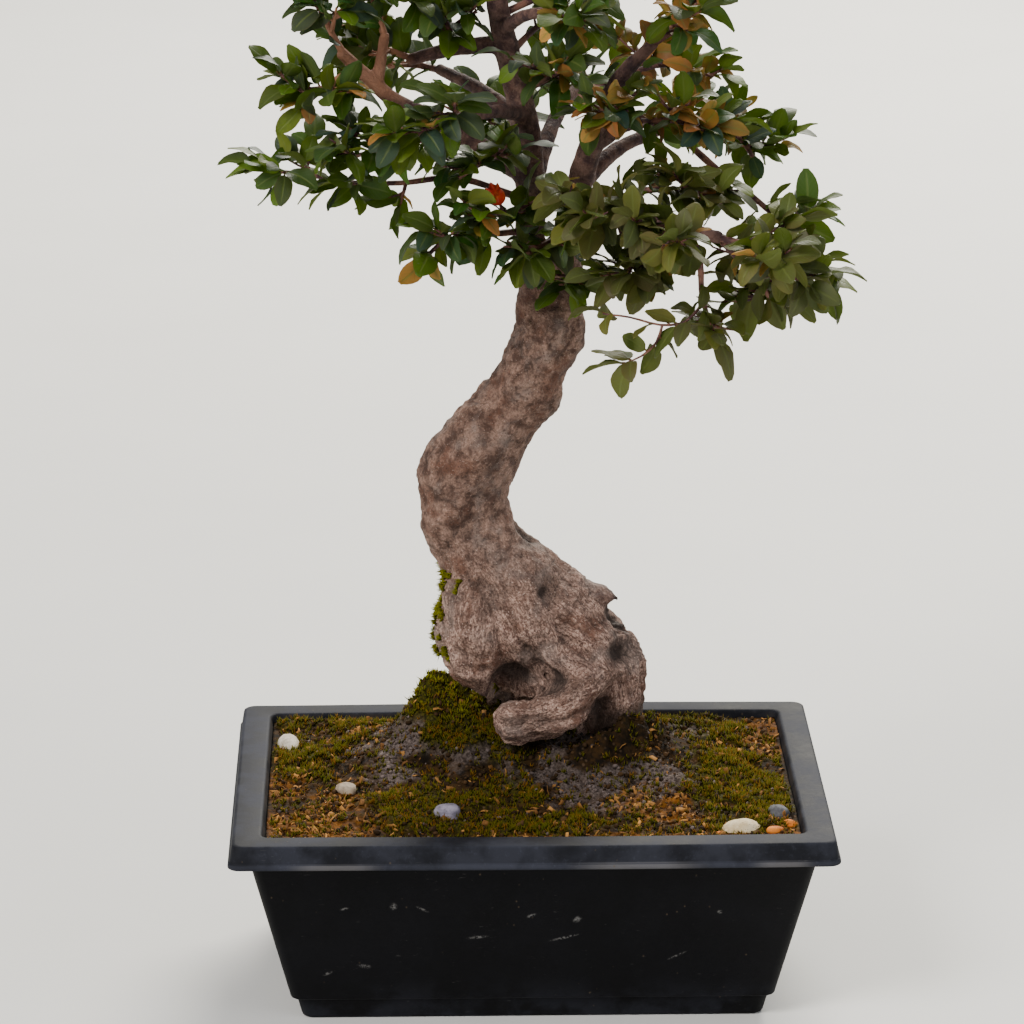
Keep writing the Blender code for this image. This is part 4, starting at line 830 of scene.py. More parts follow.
def mossPiece(name, roots, normals, rng, lengths, spread, tone, finish):
    points, faces = mossSpikes(roots, normals, rng, lengths, spread)
    mesh = meshOf(name, points, [faces])
    setField(mesh, "tip", np.tile([0.0, 0.0, 0.0, 1.0], len(roots)))
    setField(mesh, "tone", np.repeat(tone, 4))
    mesh.materials.append(finish)
    placed(name, mesh)
    print(name, len(faces), "faces")


def makeMoss(finish):
    rng = np.random.default_rng(19)
    apart, lengths, lean = mossShape["onSoil"]
    spots = soilSpots(rng, mossShape["soilSpots"], "moss")
    roots = np.repeat(spots, mossShape["spikes"], axis=0)
    roots[:, :2] += rng.normal(scale=apart, size=(len(roots), 2))
    tone = np.repeat(rng.uniform(0, 1, len(spots)), mossShape["spikes"])
    normals = np.tile(up, (len(roots), 1))
    mossPiece("mossCarpet", roots, normals, rng, lengths, lean, tone, finish)


# Stones: a sphere's grid, squeezed, turned and roughened by noise

stoneKinds = {
    # node: x, y, half sizes, turn in degrees, darkest and palest colour, seed
    "stone_round": (-14.2, -20.0, (2.5, 2.3, 1.8), 10.0, ((0.10, 0.09, 0.12), (0.36, 0.32, 0.40)), 3),
    "stone_white": (-41.6, 15.5, (1.9, 3.8, 1.7), 12.0, ((0.42, 0.36, 0.28), (0.80, 0.72, 0.60)), 5),
    "stone_pale": (-31.4, -8.4, (2.0, 1.6, 1.2), -20.0, ((0.26, 0.19, 0.13), (0.58, 0.48, 0.36)), 8),
    "stone_cream": (35.0, -26.4, (3.4, 2.1, 1.6), 8.0, ((0.62, 0.46, 0.24), (0.95, 0.82, 0.55)), 13),
    "stone_grey": (41.4, -19.0, (1.9, 2.3, 1.4), 30.0, ((0.06, 0.06, 0.065), (0.20, 0.20, 0.22)), 21),
}
# loose orange chips beside the cream stone: x, y, half sizes, turn in degrees
orangeChips = ((40.2, -27.4, (1.7, 1.0, 0.8), 20.0), (43.0, -24.2, (1.5, 0.9, 0.8), -35.0),
               (38.9, -23.6, (1.1, 0.8, 0.6), 70.0), (31.0, -28.4, (0.9, 0.7, 0.5), 10.0))
# the share of a stone below the soil, its flat sides and how far out they cut, its roughness,
# the chips' first seed, and their rows and columns
stoneShape = dict(sunk=0.35, flats=9, cut=0.86, rough=0.06, chipSeed=40, chipGrid=(10, 14))


def stoneArrays(x, y, half, turn, seed, rows=16, columns=24):
    # unit sphere points by latitude and longitude, flattened on random sides and pushed in and out by noise
    s = stoneShape
    latitude = np.linspace(0, np.pi, rows)[1:-1]
    longitude = np.arange(columns) * 2 * np.pi / columns
    wide, high = np.sin(latitude)[:, None], np.repeat(-np.cos(latitude)[:, None], columns, axis=1)
    ring = np.stack([wide * np.cos(longitude), wide * np.sin(longitude), high], axis=-1).reshape(-1, 3)
    sphere = np.vstack([ring, [[0, 0, -1.0], [0, 0, 1.0]]])
    rng = np.random.default_rng(seed)
    flats = unit(rng.normal(size=(s["flats"], 3)))
    cut = np.min(s["cut"] / np.maximum(sphere @ flats.T, 0.05), axis=1)
    size = np.minimum(1.0, cut) * (1 + s["rough"] * roughNoise(sphere, 0.5, 3, seed))
    cos, sin = math.cos(math.radians(turn)), math.sin(math.radians(turn))
    spin = np.array([(cos, -sin, 0), (sin, cos, 0), (0, 0, 1)])
    z = soilHeight(np.array([x]), np.array([y]))[0] + half[2] * (1 - 2 * s["sunk"])
    points = (sphere * size[:, None] * np.array(half)) @ spin.T + np.array([x, y, z])
    return points, closedGrid(rows - 2, columns)


def stoneFinish(name, low, high):
    # dusty mottled stone with darker pits
    f = Finish(name)
    p = f.places()
    broad, fine = f.noise(p, 1.6, 4.0, 0.6), f.noise(p, 0.3, 3.0, 0.6)
    pits = f.cells(p, 0.5).between(0.22, 0.06) * 0.6
    colour = f.mix((broad.between(0.34, 0.66) * 0.7 + fine * 0.3).least(1.0), low, high)
    colour = f.mix(pits, colour, (0.05, 0.035, 0.025))
    normal = f.bump(fine + broad - pits, 0.10, 0.7)
    return f.surface(colour, 0.6 + 0.3 * fine, normal, specular=0.2)


def makeStones():
    for node, (x, y, half, turn, (low, high), seed) in stoneKinds.items():
        name = node.replace("stone_", "pebble_")
        mesh = meshOf(name, *stoneArrays(x, y, half, turn, seed))
        shadeSmooth(mesh)
        mesh.materials.append(stoneFinish(name + "Finish", low, high))
        pebble = placed(name, mesh)
        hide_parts(node)
    firstSeed, grid = stoneShape["chipSeed"], stoneShape["chipGrid"]
    chips = stacked([stoneArrays(*chip, firstSeed + k, *grid) for k, chip in enumerate(orangeChips)])
    mesh = meshOf("orangeChips", *chips)
    shadeSmooth(mesh)
    mesh.materials.append(stoneFinish("orangeChipFinish", (0.34, 0.060, 0.008), (0.90, 0.290, 0.040)))
    placed("orangeChips", mesh)
    print("stones and chips")


# Wood: each run is a list of (x, y, z, radius) along its centre line, close to those of the frame's solid

trunkRun = (
    (8, 14, 30, 6.5), (8, 14, 40, 8), (6.5, 13.5, 49, 8.8), (1, 10.5, 57, 10.6), (-4, 9.5, 66, 9.8),
    (-8.3, 9, 73, 8.2), (-11.5, 8.7, 79, 7.4), (-11.4, 8.3, 85, 7.2), (-9.8, 8, 89, 6.9),
    (-6.6, 7.5, 93.5, 6.7), (-3, 7, 98, 6.2), (-1, 6.4, 102, 5.9), (0.4, 5.8, 106, 5.7),
    (2.6, 5.3, 110, 5.7), (3.7, 5, 114, 5.2), (3.8, 4.8, 117, 4.4),
)
lobes = dict(
    rightMass=(
        (-3, 9, 64.5, 7.8), (3.6, 8.5, 60.6, 7.8), (9.2, 8.5, 56.5, 7.2), (12.2, 8.5, 50.5, 7.4),
        (12.5, 9, 44, 7), (12.5, 10, 32, 6),
    ),
    leftLobe=(
        (-7.4, 8.5, 68, 7.6), (-8.4, 7, 62, 7.2), (-8.9, 6, 56, 6.1), (-8.4, 5, 51.4, 4.2),
        (-7.6, 4.4, 47.6, 1.6),
    ),
    frontRoot=(
        (11.5, 6, 50.5, 5.2), (8.4, 2.6, 48.5, 5.0), (4.2, 0.2, 46.3, 4.5), (-0.4, -1.2, 45.2, 4.2),
        (-4.0, -1.2, 45.0, 3.7),
    ),
    ridgeRoot=(
        (2, 5, 58, 4.6), (5, 2.4, 54, 3.4), (9, 1.6, 51.4, 2.8),
    ),
    spur=(
        (8.5, 8.5, 62.4, 3.6), (12.2, 8.7, 63.2, 2.6), (14.2, 8.8, 63.1, 1.5), (16.1, 8.8, 63.2, 0.7),
    ),
    burl=(
        (4.6, 5, 110.2, 3.2), (7.6, 5, 109.6, 2.7),
    ),
    knot=(
        (-8.4, 7.6, 93.4, 3.6), (-11.4, 7.4, 92.2, 2.3),
    ),
    backLeftRoot=(
        (0, 16, 46, 4.6), (-6, 21, 40, 3.2), (-10, 24.5, 34, 2.2),
    ),
    backRightRoot=(
        (9, 17, 46, 5), (13, 22.5, 40, 3.2), (16.5, 25.5, 34, 2.2),
    ),
)
limbs = dict(
    leader=(
        (1.6, 4.8, 111, 4), (0.5, 4.4, 118, 2.8), (0.1, 4, 126, 2.5), (0.1, 3.5, 134.8, 2.5),
        (-0.2, 3, 143.5, 2.4), (-1.5, 3, 151.9, 2.3), (-3.7, 2.5, 160.4, 2.1), (-5.4, 2, 168.9, 1.8),
        (-5.5, 1.5, 177, 1.5), (-4.2, 1, 185, 1.2), (-3, 0.5, 191, 0.95),
    ),
    rightStem=(
        (4.6, 5, 110, 4.6), (5.2, 4.9, 115.5, 3.9), (5.7, 4.5, 121, 3.2), (5.9, 4, 126, 2.8),
        (6.9, 3, 131.5, 2.5), (8.1, 2, 136.9, 2.3), (10.3, 1, 145.5, 1.9), (11.9, 0, 151.2, 1.6),
        (15.6, -2, 157.6, 1.3), (20.4, -3, 162.8, 1),
    ),
    leftLimb=(
        (0, 3.2, 139, 2), (-7.4, 2, 143.7, 1.75), (-14.8, 0, 148.9, 1.55), (-22.2, -2, 152.9, 1.35),
        (-26.6, -3, 157, 1.2), (-31.1, -4, 161.5, 1),
    ),
    leftFork=(
        (-25.2, -2.6, 155.6, 1.1), (-24.4, -1.6, 160.2, 0.95), (-23.8, -1, 164, 0.85),
    ),
    highLeftLimb=(
        (-4, 2.6, 161.6, 1.6), (-12.3, 4, 160.5, 1.3), (-20, 5, 158.3, 1),
    ),
    padLimb=(
        (7.2, 3, 132.4, 2.2), (10, -4, 135.5, 1.9), (14.5, -13, 137, 1.6), (20.5, -22, 137, 1.35),
        (29.8, -28, 135.8, 1.05),
    ),
    rightLimb=(
        (10, 1.2, 144.6, 1.8), (17, 3, 148.1, 1.4), (24.5, 5.5, 146.8, 1.15), (29, 6.5, 145.2, 0.95),
    ),
    backLimb=(
        (0.2, 3.4, 137, 1.9), (3, 12, 143, 1.5), (6, 21, 147, 1.2), (9, 28, 149, 0.95),
    ),
    backLeftLimb=(
        (-0.8, 3, 148, 1.6), (-8, 11, 152, 1.3), (-15, 19, 154, 1),
    ),
    backRightLimb=(
        (8.4, 2, 138, 1.7), (15, 10, 142, 1.3), (22, 17, 143.5, 1),
    ),
    topLeftLimb=(
        (-5.4, 2, 169.6, 1.4), (-12, 1, 175, 1.15), (-18, 0, 178, 0.9),
    ),
    topRightLimb=(
        (-5.4, 1.7, 173.5, 1.3), (2, 1, 178, 1.05), (9, 0, 181, 0.85),
    ),
    frontLimb=(
        (-1, 3, 149.5, 1.5), (-5, -6, 152, 1.2), (-10, -14, 153, 0.95),
    ),
    topFrontLimb=(
        (-4.5, 2.3, 164, 1.3), (-1, -7, 168, 1.05), (3, -14, 170, 0.85),
    ),
    topBackLimb=(
        (-5.4, 2, 170.5, 1.3), (-4, 10, 175, 1.05), (-2, 17, 177, 0.85),
    ),
)


# Trunk: the runs joined in one skin, with lumps, hollows, fibres and grain raised on it as bark

barkShape = dict(
    voxel=0.40, smoothing=2, runStep=1.2, sides=22,
    # the fibres: their sampling, the gap between two runs' fibres, their stretch, and points worked at once
    fibreStep=0.8, fibreApart=37.0, fibreStretch=6, batch=5000,
    lumpSize=7.0, lumpHeight=1.3, lumpFade=12.0, lumpsEnd=128.0,
    # x, y, z, radius, depth of each hollow
    hollows=((16.2, 2.6, 55.7, 2.2, 2.6), (2.9, 1.8, 67.0, 2.2, 1.3), (0.8, -0.8, 51.0, 2.1, 1.9),
             (-3.0, 2.6, 50.0, 2.9, 3.0), (-6.0, 1.5, 84.0, 2.2, 0.7), (2.4, -0.6, 117.5, 1.7, 1.2),
             (4.4, -1.2, 51.3, 2.1, 1.9), (7.6, -1.4, 50.0, 1.5, 1.1), (16.4, 8.5, 60.6, 2.7, 3.4),
             (0.2, 8.0, 75.6, 3.0, 1.6), (12.4, 0.6, 46.0, 2.4, 1.6), (9.4, 0.4, 55.0, 1.3, 0.7)),
    # x, y, z, radius, height of each swelling
    swellings=((8.4, 8.6, 67.0, 3.0, 1.5), (-4.2, -1.8, 45.4, 3.0, 0.8)),
)


def lumps(points, size):
    # crossed sine waves, each bent by another, from -1 to 1
    x, y, z = (points / size).T
    a = np.sin(2.1 * x + 1.7 * np.sin(1.3 * z + 0.4)) * np.cos(1.9 * y + 1.1 * np.sin(1.7 * z))
    b = np.sin(1.3 * z + 2.0 * np.sin(0.9 * x + 1.1)) * np.cos(2.3 * x - 1.4 * y)
    return 0.6 * a + 0.4 * b


def woodRuns(step):
    return [smoothPath(run, step) for run in (trunkRun, *lobes.values(), *limbs.values())]


def followWood(points):
    # for each point, the run sample whose surface is nearest gives its radius and a straightened place:
    # two distances square to the run, and a sixth of the way along it
    s = barkShape
    runs = woodRuns(s["fibreStep"])
    samples = np.vstack(runs)
    along, across, over = (np.vstack(parts) for parts in zip(*(carried(run[:, :3]) for run in runs)))
    steps = [np.linalg.norm(np.diff(run[:, :3], axis=0), axis=1) for run in runs]
    ways = [np.concatenate([[0.0], np.cumsum(step)]) + s["fibreApart"] * k for k, step in enumerate(steps)]
    way = np.concatenate(ways)
    pick = np.empty(len(points), int)
    for part in np.array_split(np.arange(len(points)), max(1, len(points) // s["batch"])):
        pick[part] = np.argmin(distances(points[part], samples[:, :3]) - samples[:, 3], axis=1)
    offset = points - samples[pick, :3]
    sideways, upwards, onwards = ((offset * axes[pick]).sum(1) for axes in (across, over, along))
    return samples[pick, 3], np.stack([sideways, upwards, (way[pick] + onwards) / s["fibreStretch"]], axis=1)


def bellSum(points, spots):
    # a bell-shaped rise round each (x, y, z, reach, height), added up
    total = np.zeros(len(points))
    for x, y, z, reach, height in spots:
        total += height * np.exp(-((np.linalg.norm(points - np.array([x, y, z]), axis=1) / reach) ** 2))
    return total


def makeTrunk():
    s = barkShape
    runs = woodRuns(s["runStep"])
    rough = placed("trunkBark", meshOf("trunkBark", *stacked([tube(run, s["sides"]) for run in runs])), None)
    skin = rough.modifiers.new("skin", "REMESH")
    skin.mode, skin.voxel_size = "VOXEL", s["voxel"] * mm
    ease = rough.modifiers.new("ease", "SMOOTH")
    ease.factor, ease.iterations = 0.5, s["smoothing"]
    mesh = evaluated(rough)
    bpy.data.objects.remove(rough, do_unlink=True)
    mesh.name = "trunkBark"
    points, normals = meshPoints(mesh), meshNormals(mesh)
    radius, fibre = followWood(points)
    thick = np.clip((s["lumpsEnd"] - points[:, 2]) / s["lumpFade"], 0.0, 1.0)
    coarse = np.clip(radius / 6.0, 0.10, 1.0)
    push = s["lumpHeight"] * thick * lumps(points, s["lumpSize"]) * ramp(radius, 0.8, 3.0)
    push += bellSum(points, s["swellings"])
    pressed = bellSum(points, s["hollows"])
    low = 1 - ramp(points[:, 2], 60.0, 74.0)
    folds = 1 - np.abs(roughNoise(points, 5.5, 3, 31))
    bark = (0.62 + 0.40 * low) * coarse * (folds - 0.75)
    bark += (0.12 + 0.12 * low) * coarse * roughNoise(fibre, 1.25, 2, 37)
    bark += 0.90 * low * coarse * (0.5 - np.abs(roughNoise(fibre, 2.6, 3, 39)))
    bark += 0.24 * coarse * roughNoise(points, 1.3, 2, 43)
    _, gap = crackNoise(points + 1.1 * roughNoise(points, 2.4, 2, 47)[:, None], 3.4, 53)
    crack = (1 - ramp(gap, 0.0, 0.12)) * coarse * ramp(roughNoise(points, 5.0, 2, 57), 0.0, 0.4)
    bark -= 0.22 * crack
    movePoints(mesh, points + normals * (push - pressed + bark)[:, None])
    setField(mesh, "fibre", fibre)
    # painted shade, kept for the bark's colour: the hollows, cracks and grooves
    setField(mesh, "recessShade", np.clip(pressed / 1.5 + 0.4 * crack + 0.55 * np.clip(-bark, 0, 1), 0.0, 1.0))
    setField(mesh, "thin", 1 - ramp(radius, 1.3, 3.6))
    shadeSmooth(mesh)
    mesh.materials.clear()
    mesh.materials.append(barkFinish())
    bark = placed("trunkBark", mesh)
    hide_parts("trunk")
    print("trunk", len(mesh.polygons), "faces")
    return bark


def peachFork(f, p, colour):
    # the bark about the left fork is peach
    across, z = (f.axis(p, "X") + 27.0) / 9.0, f.axis(p, "Z")
    fork = (1 - across.size().between(0.5, 1.0)) * z.between(151.0, 156.0)
    return f.mix(fork * 0.7, colour, (0.520, 0.235, 0.130))


def barkFinish():
    # mottled grey-brown bark, pinker and paler low down, with fine fibres and light specks, painted shade in
    # its hollows, cracks and grooves, and painted shade low on the foot's right side, under the overhanging
    # wood
    f = Finish("gnarledBark")
    p = f.places()
    z = f.axis(p, "Z")
    fibre = f.field("fibre", "Vector")
    low = 1 - z.between(58.0, 82.0)
    thin, recessShade = f.field("thin"), f.field("recessShade")
    clouds = f.noise(p, 6.5, 4.0, 0.6)
    blotch = f.noise(p, 2.3, 4.0, 0.65)
    streaks = f.noise(fibre, 0.62, 4.0, 0.7)
    grain = f.noise(p, 0.42, 3.0, 0.65)
    fleck = f.noise(f.stretched(fibre, (1.0, 1.0, 3.6)), 0.30, 3.0, 0.75)
    creases = f.noise(fibre, 1.5, 3.0, 0.6)
    specks = f.cells(p, 0.55).between(0.30, 0.12)
    pits = f.cells(p, 0.9).between(0.20, 0.05)
    upper = f.mix(blotch.between(0.36, 0.64), (0.070, 0.034, 0.023), (0.330, 0.200, 0.148))
    upper = f.mix((1 - fleck.between(0.36, 0.56)) * 0.45, upper, (0.075, 0.038, 0.026))
    lined = (0.35 * streaks + 0.65 * fleck).between(0.40, 0.60)
    base = f.mix(lined, (0.105, 0.050, 0.037), (0.660, 0.432, 0.338))
    base = f.mix((1 - creases.between(0.38, 0.50)) * 0.55, base, (0.090, 0.044, 0.032))
    colour = f.mix(low * (0.45 + 0.55 * blotch.between(0.3, 0.6)), upper, base)
    colour = f.mix(clouds.between(0.50, 0.66) * 0.50, colour, (0.205, 0.165, 0.145))
    colour = f.mix((1 - clouds.between(0.34, 0.47)) * 0.60, colour, (0.150, 0.060, 0.034))
    colour = f.mix(specks * (0.28 + 0.42 * low) * grain.between(0.40, 0.58), colour, (0.70, 0.53, 0.44))
    colour = f.mix(pits * 0.50, colour, (0.035, 0.018, 0.012))
    colour = f.mix((1 - grain.between(0.34, 0.54)) * 0.60, colour, (0.065, 0.033, 0.024))
    twig = f.mix(blotch.between(0.35, 0.65), (0.045, 0.022, 0.026), (0.150, 0.078, 0.062))
    colour = f.mix(thin * 0.85, colour, peachFork(f, p, twig))
    # painted shade low on the foot's right side, under the overhanging wood
    footShade = (1 - z.between(43.0, 47.2)) * f.axis(p, "X").between(7.5, 12.0)
    colour = f.mix(footShade * 0.85, colour, (0.034, 0.019, 0.011))
    # painted shade in the hollows, cracks and grooves
    colour = f.mix(recessShade * 0.85, colour, (0.020, 0.012, 0.009))
    height = 0.6 * streaks + 1.0 * grain + 0.7 * fleck + 0.6 * blotch + 0.4 * specks - 0.7 * pits
    normal = f.bump(height, 0.30, 0.80)
    return f.surface(colour, 0.70 + 0.22 * grain, normal, specular=0.35)


def makeBarkMoss(bark, finish):
    # thin moss on the trunk's left edge above its base, on the shaded foot of the wood and low on its back
    rng = np.random.default_rng(23)
    points, normals = meshPoints(bark.data), meshNormals(bark.data)
    x, y, z = points.T
    strip = (normals[:, 0] < -0.72) & (z > 54.5) & (z < 69.5) & (x < -10) & (np.abs(y - 8.0) < 5.5)
    strip &= softNoise(points / 2.4, 5) > 0.10
    foot = (z < 45.0 + 1.5 * softNoise(points / 4.0, 6)) & (z > 38.0) & (normals[:, 2] > -0.5) & (x < -7.0)
    back = (y > 15.0) & (z < 56.0) & (z > 40.0) & (softNoise(points / 3.5, 7) > 0.12)
    count, spikes = mossShape["barkSpots"], mossShape["spikes"]
    shares = ((strip, count), (foot, count), (back, 2 * count))
    pick = np.concatenate([rng.choice(np.flatnonzero(place), number) for place, number in shares])
    apart, lengths, lean = mossShape["onBark"]
    roots = np.repeat(points[pick], spikes, axis=0) + rng.normal(scale=apart, size=(len(pick) * spikes, 3))
    tone = np.repeat(rng.uniform(0, 1, len(pick)) * 0.8, spikes)
    mossPiece("barkMoss", roots, np.repeat(normals[pick], spikes, axis=0), rng, lengths, lean, tone, finish)


# Sprays: the stem's points, leaves in the frame's solid, leaves added here, side shoots,
# their reach, and the bare share of the stem

Spray = namedtuple("Spray", "stem leaves more shoots reach bare")
sprays = {
    "spray_low_left": Spray(
        ((-0.2, 3.8, 129.5), (-8.3, -4, 130.6), (-14.1, -6, 130.2), (-17.6, -7, 127.4)),
        6, 30, 1, 5.5, 0.4),
    "spray_left_reach": Spray(
        ((0, 3.5, 134.6), (-11.6, -2, 139.8), (-21.5, -4.2, 139.6),
         (-30.5, -5.2, 140), (-37, -6, 141.6), (-43.5, -7, 142.4)),
        9, 45, 3, 8, 0.62),
    "spray_left_cluster": Spray(
        ((-15, 0, 149), (-18, -5, 147.2), (-24, -9, 146.4), (-31, -10, 145)),
        10, 50, 3, 9, 0.2),
    "spray_left_fork": Spray(
        ((-28.4, -3.4, 158.8), (-32, -6.5, 157.4), (-35, -8.5, 155.4), (-37.5, -9.5, 153.4)),
        8, 40, 2, 8, 0.2),
    "spray_left_tip": Spray(((-30.4, -3.8, 160.8), (-33, -5, 166), (-34.5, -6, 171)), 7, 35, 2, 7.5, 0.2),
    "spray_left_rise": Spray(
        ((-23.8, -1, 163.2), (-25.5, -0.5, 168.5), (-28.5, 0, 173.5)),
        7, 35, 2, 8, 0.15),
    "spray_high_left": Spray(((-19.2, 4.9, 158.5), (-24.5, 6, 160.2), (-30, 8, 160.6)), 8, 40, 2, 8, 0.1),
    "spray_high_inner": Spray(
        ((-12.3, 4, 160.4), (-13.5, 0.5, 165), (-15.5, -3.5, 168.5)),
        7, 35, 2, 8, 0.2),
    "spray_centre_low": Spray(
        ((0.1, 3.6, 133), (-3, -4, 134.6), (-6.5, -9, 135), (-10, -12.5, 134.2)),
        8, 40, 3, 8, 0.3),
    "spray_centre_left": Spray(
        ((-6.4, 2.2, 143), (-7, -4, 143.4), (-9, -9.5, 143.6), (-12, -14, 142.6)),
        8, 40, 2, 7.5, 0.25),
    "spray_centre_front": Spray(
        ((6.4, 3.4, 129), (5, -3.6, 130.6), (2.5, -8.6, 130.4), (-1, -12, 129.2)),
        9, 45, 2, 7.5, 0.3),
    "spray_trunk_face": Spray(((5.6, 4.4, 122.2), (6.4, -1.2, 123.2), (6.8, -4.2, 121.6)), 3, 15, 0, 4, 0.6),
    "spray_front": Spray(((-9.3, -12.8, 152.9), (-14, -19, 153.4), (-18.5, -24, 152)), 8, 40, 2, 9, 0.15),
    "spray_leader": Spray(((-1.5, 3, 152.6), (1.6, -2.6, 156), (4.2, -7.4, 158.6)), 6, 30, 2, 7.5, 0.3),
    "spray_pad_near": Spray(
        ((15.6, -14.8, 137), (12.2, -20, 138.4), (7.5, -25, 138.2)),
        10, 90, 3, 9, 0.15),
    "spray_pad_front": Spray(((21, -22.4, 137), (21.6, -28.5, 138), (20, -34, 137)), 10, 90, 3, 9, 0.15),
    "spray_pad_end": Spray(
        ((29, -27.6, 135.9), (35, -30, 134.6), (40, -31, 131.6), (43, -31, 128.6)),
        11, 88, 3, 9, 0.1),
    "spray_pad_back": Spray(
        ((12, -8.2, 136.2), (18, -9.5, 139.2), (25, -13, 140.2), (31, -16, 138.8)),
        11, 99, 3, 9, 0.2),
    "spray_pad_low": Spray(
        ((14, -12.2, 136.4), (15, -15, 132.4), (17, -17.5, 128.8), (20, -19.5, 126.2)),
        9, 81, 3, 8, 0.25),
    "spray_pad_low_end": Spray(
        ((30.4, -27.6, 135), (34, -24.5, 130.6), (37, -22, 126.6), (38.6, -20, 123.6)),
        9, 72, 3, 8, 0.25),
    "spray_pad_hanging": Spray(
        ((25, -25.2, 136.6), (26.8, -25.5, 131), (27.3, -25, 125), (29.4, -25, 118.6)),
        5, 44, 1, 8, 0.7),
    "spray_right_low": Spray(
        ((23.5, 5.2, 147), (30, 0, 141.6), (37.5, -7, 136.8), (43.5, -10, 131.4), (48.4, -10, 123)),
        7, 35, 2, 7, 0.5),
    "spray_right_mid": Spray(
        ((18.4, 3, 148.1), (20.5, -3, 149.6), (24, -8, 150.6), (28, -12, 150)),
        9, 63, 3, 8, 0.2),
    "spray_right_end": Spray(
        ((28.2, 6.4, 145.5), (32, 5.5, 146.2), (35, 3.5, 145.2), (37, 1, 142.6)),
        8, 40, 2, 8, 0.1),
    "spray_right_upper": Spray(
        ((19.7, -2.9, 162.2), (23, -4.5, 164.6), (26, -6.5, 165.6)),
        8, 40, 2, 7.5, 0.1),
    "spray_right_high": Spray(
        ((14, -1.2, 155), (18.5, 3, 157), (23.5, 6.5, 157), (28, 8.5, 155.4)),
        9, 45, 2, 8, 0.2),
    "spray_right_inner": Spray(((11.8, 0, 151), (13.2, -7, 152.4), (15.4, -13.5, 153.4)), 8, 40, 2, 8, 0.3),
    "spray_apex": Spray(((-3.2, 0.6, 190.2), (-2.5, 0, 195)), 6, 30, 2, 6.5, 0.1),
    "spray_apex_front": Spray(((-4.3, 1, 184.4), (-8.4, -4, 186.8), (-12, -8, 187)), 7, 35, 1, 7.5, 0.2),
    "spray_apex_back": Spray(
        ((-4.6, 1.1, 182.6), (-0.5, 6.5, 186.6), (3, 10.5, 187.6)),
        7, 35, 1, 7.5, 0.2),
    "spray_top_left": Spray(
        ((-17.3, 0.1, 177.7), (-22, -1, 180.4), (-26.5, -1.5, 181)),
        8, 40, 2, 8.5, 0.1),
    "spray_top_right": Spray(((8.2, 0.1, 180.7), (13.5, -1, 182.4), (18.5, -2, 181.6)), 8, 40, 2, 8.5, 0.1),
    "spray_top_side": Spray(
        ((-4.9, 2.2, 166.4), (3, 4.2, 169.4), (12, 4, 171.8), (20, 2.5, 171.4)),
        9, 45, 3, 9, 0.35),
    "spray_top_front": Spray(
        ((2.6, -13.2, 169.8), (5.2, -18.5, 170.6), (8, -23, 169.2)),
        8, 40, 2, 8.5, 0.1),
    "spray_top_back": Spray(((-2.1, 16.2, 176.8), (0, 21, 177.6), (2.5, 25.5, 176.4)), 8, 40, 2, 8.5, 0.1),
    "spray_back_end": Spray(((8.7, 27.2, 148.8), (11, 32, 149), (13, 36.5, 147.4)), 8, 40, 2, 9, 0.1),
    "spray_back_mid": Spray(((3, 12, 143), (-3, 18, 144), (-8.5, 24, 143.6)), 8, 40, 2, 9, 0.25),
    "spray_back_left": Spray(
        ((-14.4, 18.3, 153.8), (-20, 23, 154), (-25.5, 26.5, 152.4)),
        8, 40, 2, 9, 0.1),
    "spray_back_right": Spray(
        ((21.4, 16.4, 143.4), (27, 20.5, 143.2), (32.5, 24, 141.4)),
        8, 40, 2, 9, 0.1),
    "spray_back_high": Spray(
        ((-3.6, 2.5, 159.4), (1, 10, 162.4), (6, 17, 164.4), (10.5, 23, 164)),
        8, 40, 2, 9, 0.3),
}


# Crown: side shoots and leaves, grown by the same seeded rule as the frame's solids, then more of both

growth = dict(
    stemRadius=(0.66, 0.34), shootRadius=(0.42, 0.22), twigRadius=(0.26, 0.15),
    shootTurn=(38.0, 68.0), shootLift=(-12.0, 38.0), shootLast=0.94, shootLengths=(0.8, 1.1),
    shootBend=0.10, shootBare=0.25, shootClearance=3.4, shootWoodClearance=1.2, shootTries=12, shootSeed=100,
    nodeSpacing=3.4, tipStep=1.3,
    leafSpread=58.0, leafTurns=(75.0, 10.0), turnPlay=35.0, spreadPlay=14.0,
    tipLeaves=((0.0, 6.0), (0.0, 74.0), (180.0, 74.0)),
    leafLengths=(7.2, 9.6), widthShare=0.54, leafTries=4, leafSeed=500,
    cellMargin=1.1, woodClearance=0.8, leafApart=1.5,
    # a leaf's marks: each way along it with its share of the half width there, and one just past its tip
    marks=((0.3, 0.7), (0.55, 0.9), (0.8, 0.7)), tipMark=1.03,
    # what is added here
    twigsPerSpray=8, twigLengths=(3.0, 6.5), twigBare=0.2, twigClearance=2.2,
    moreSpacing=1.3, moreLengths=(4.2, 7.4), moreApart=0.66,
    moreMargin=0.3, moreWoodClearance=0.3, moreTries=5, moreSeed=900,
    # blade lengths as a share of the frame's, and of its neighbours' for a young leaf
    bladeShare=0.86, youngShare=0.76,
    # how closely the wood's paths are sampled, its sides, how knobbly it is, and the seed of the looks
    pathSteps=(1.4, 1.4, 1.6), sides=(7, 6, 5), knobs=0.10, lookSeed=2000,
)
hangingShoot = {"spray_left_reach": ((-20.5, -4.1, 139.7), (-21.4, -5.6, 136.4))}
# the scene's own leaves start nearer to this stem's foot: its bare share
leafyStems = {"spray_pad_hanging": 0.05}
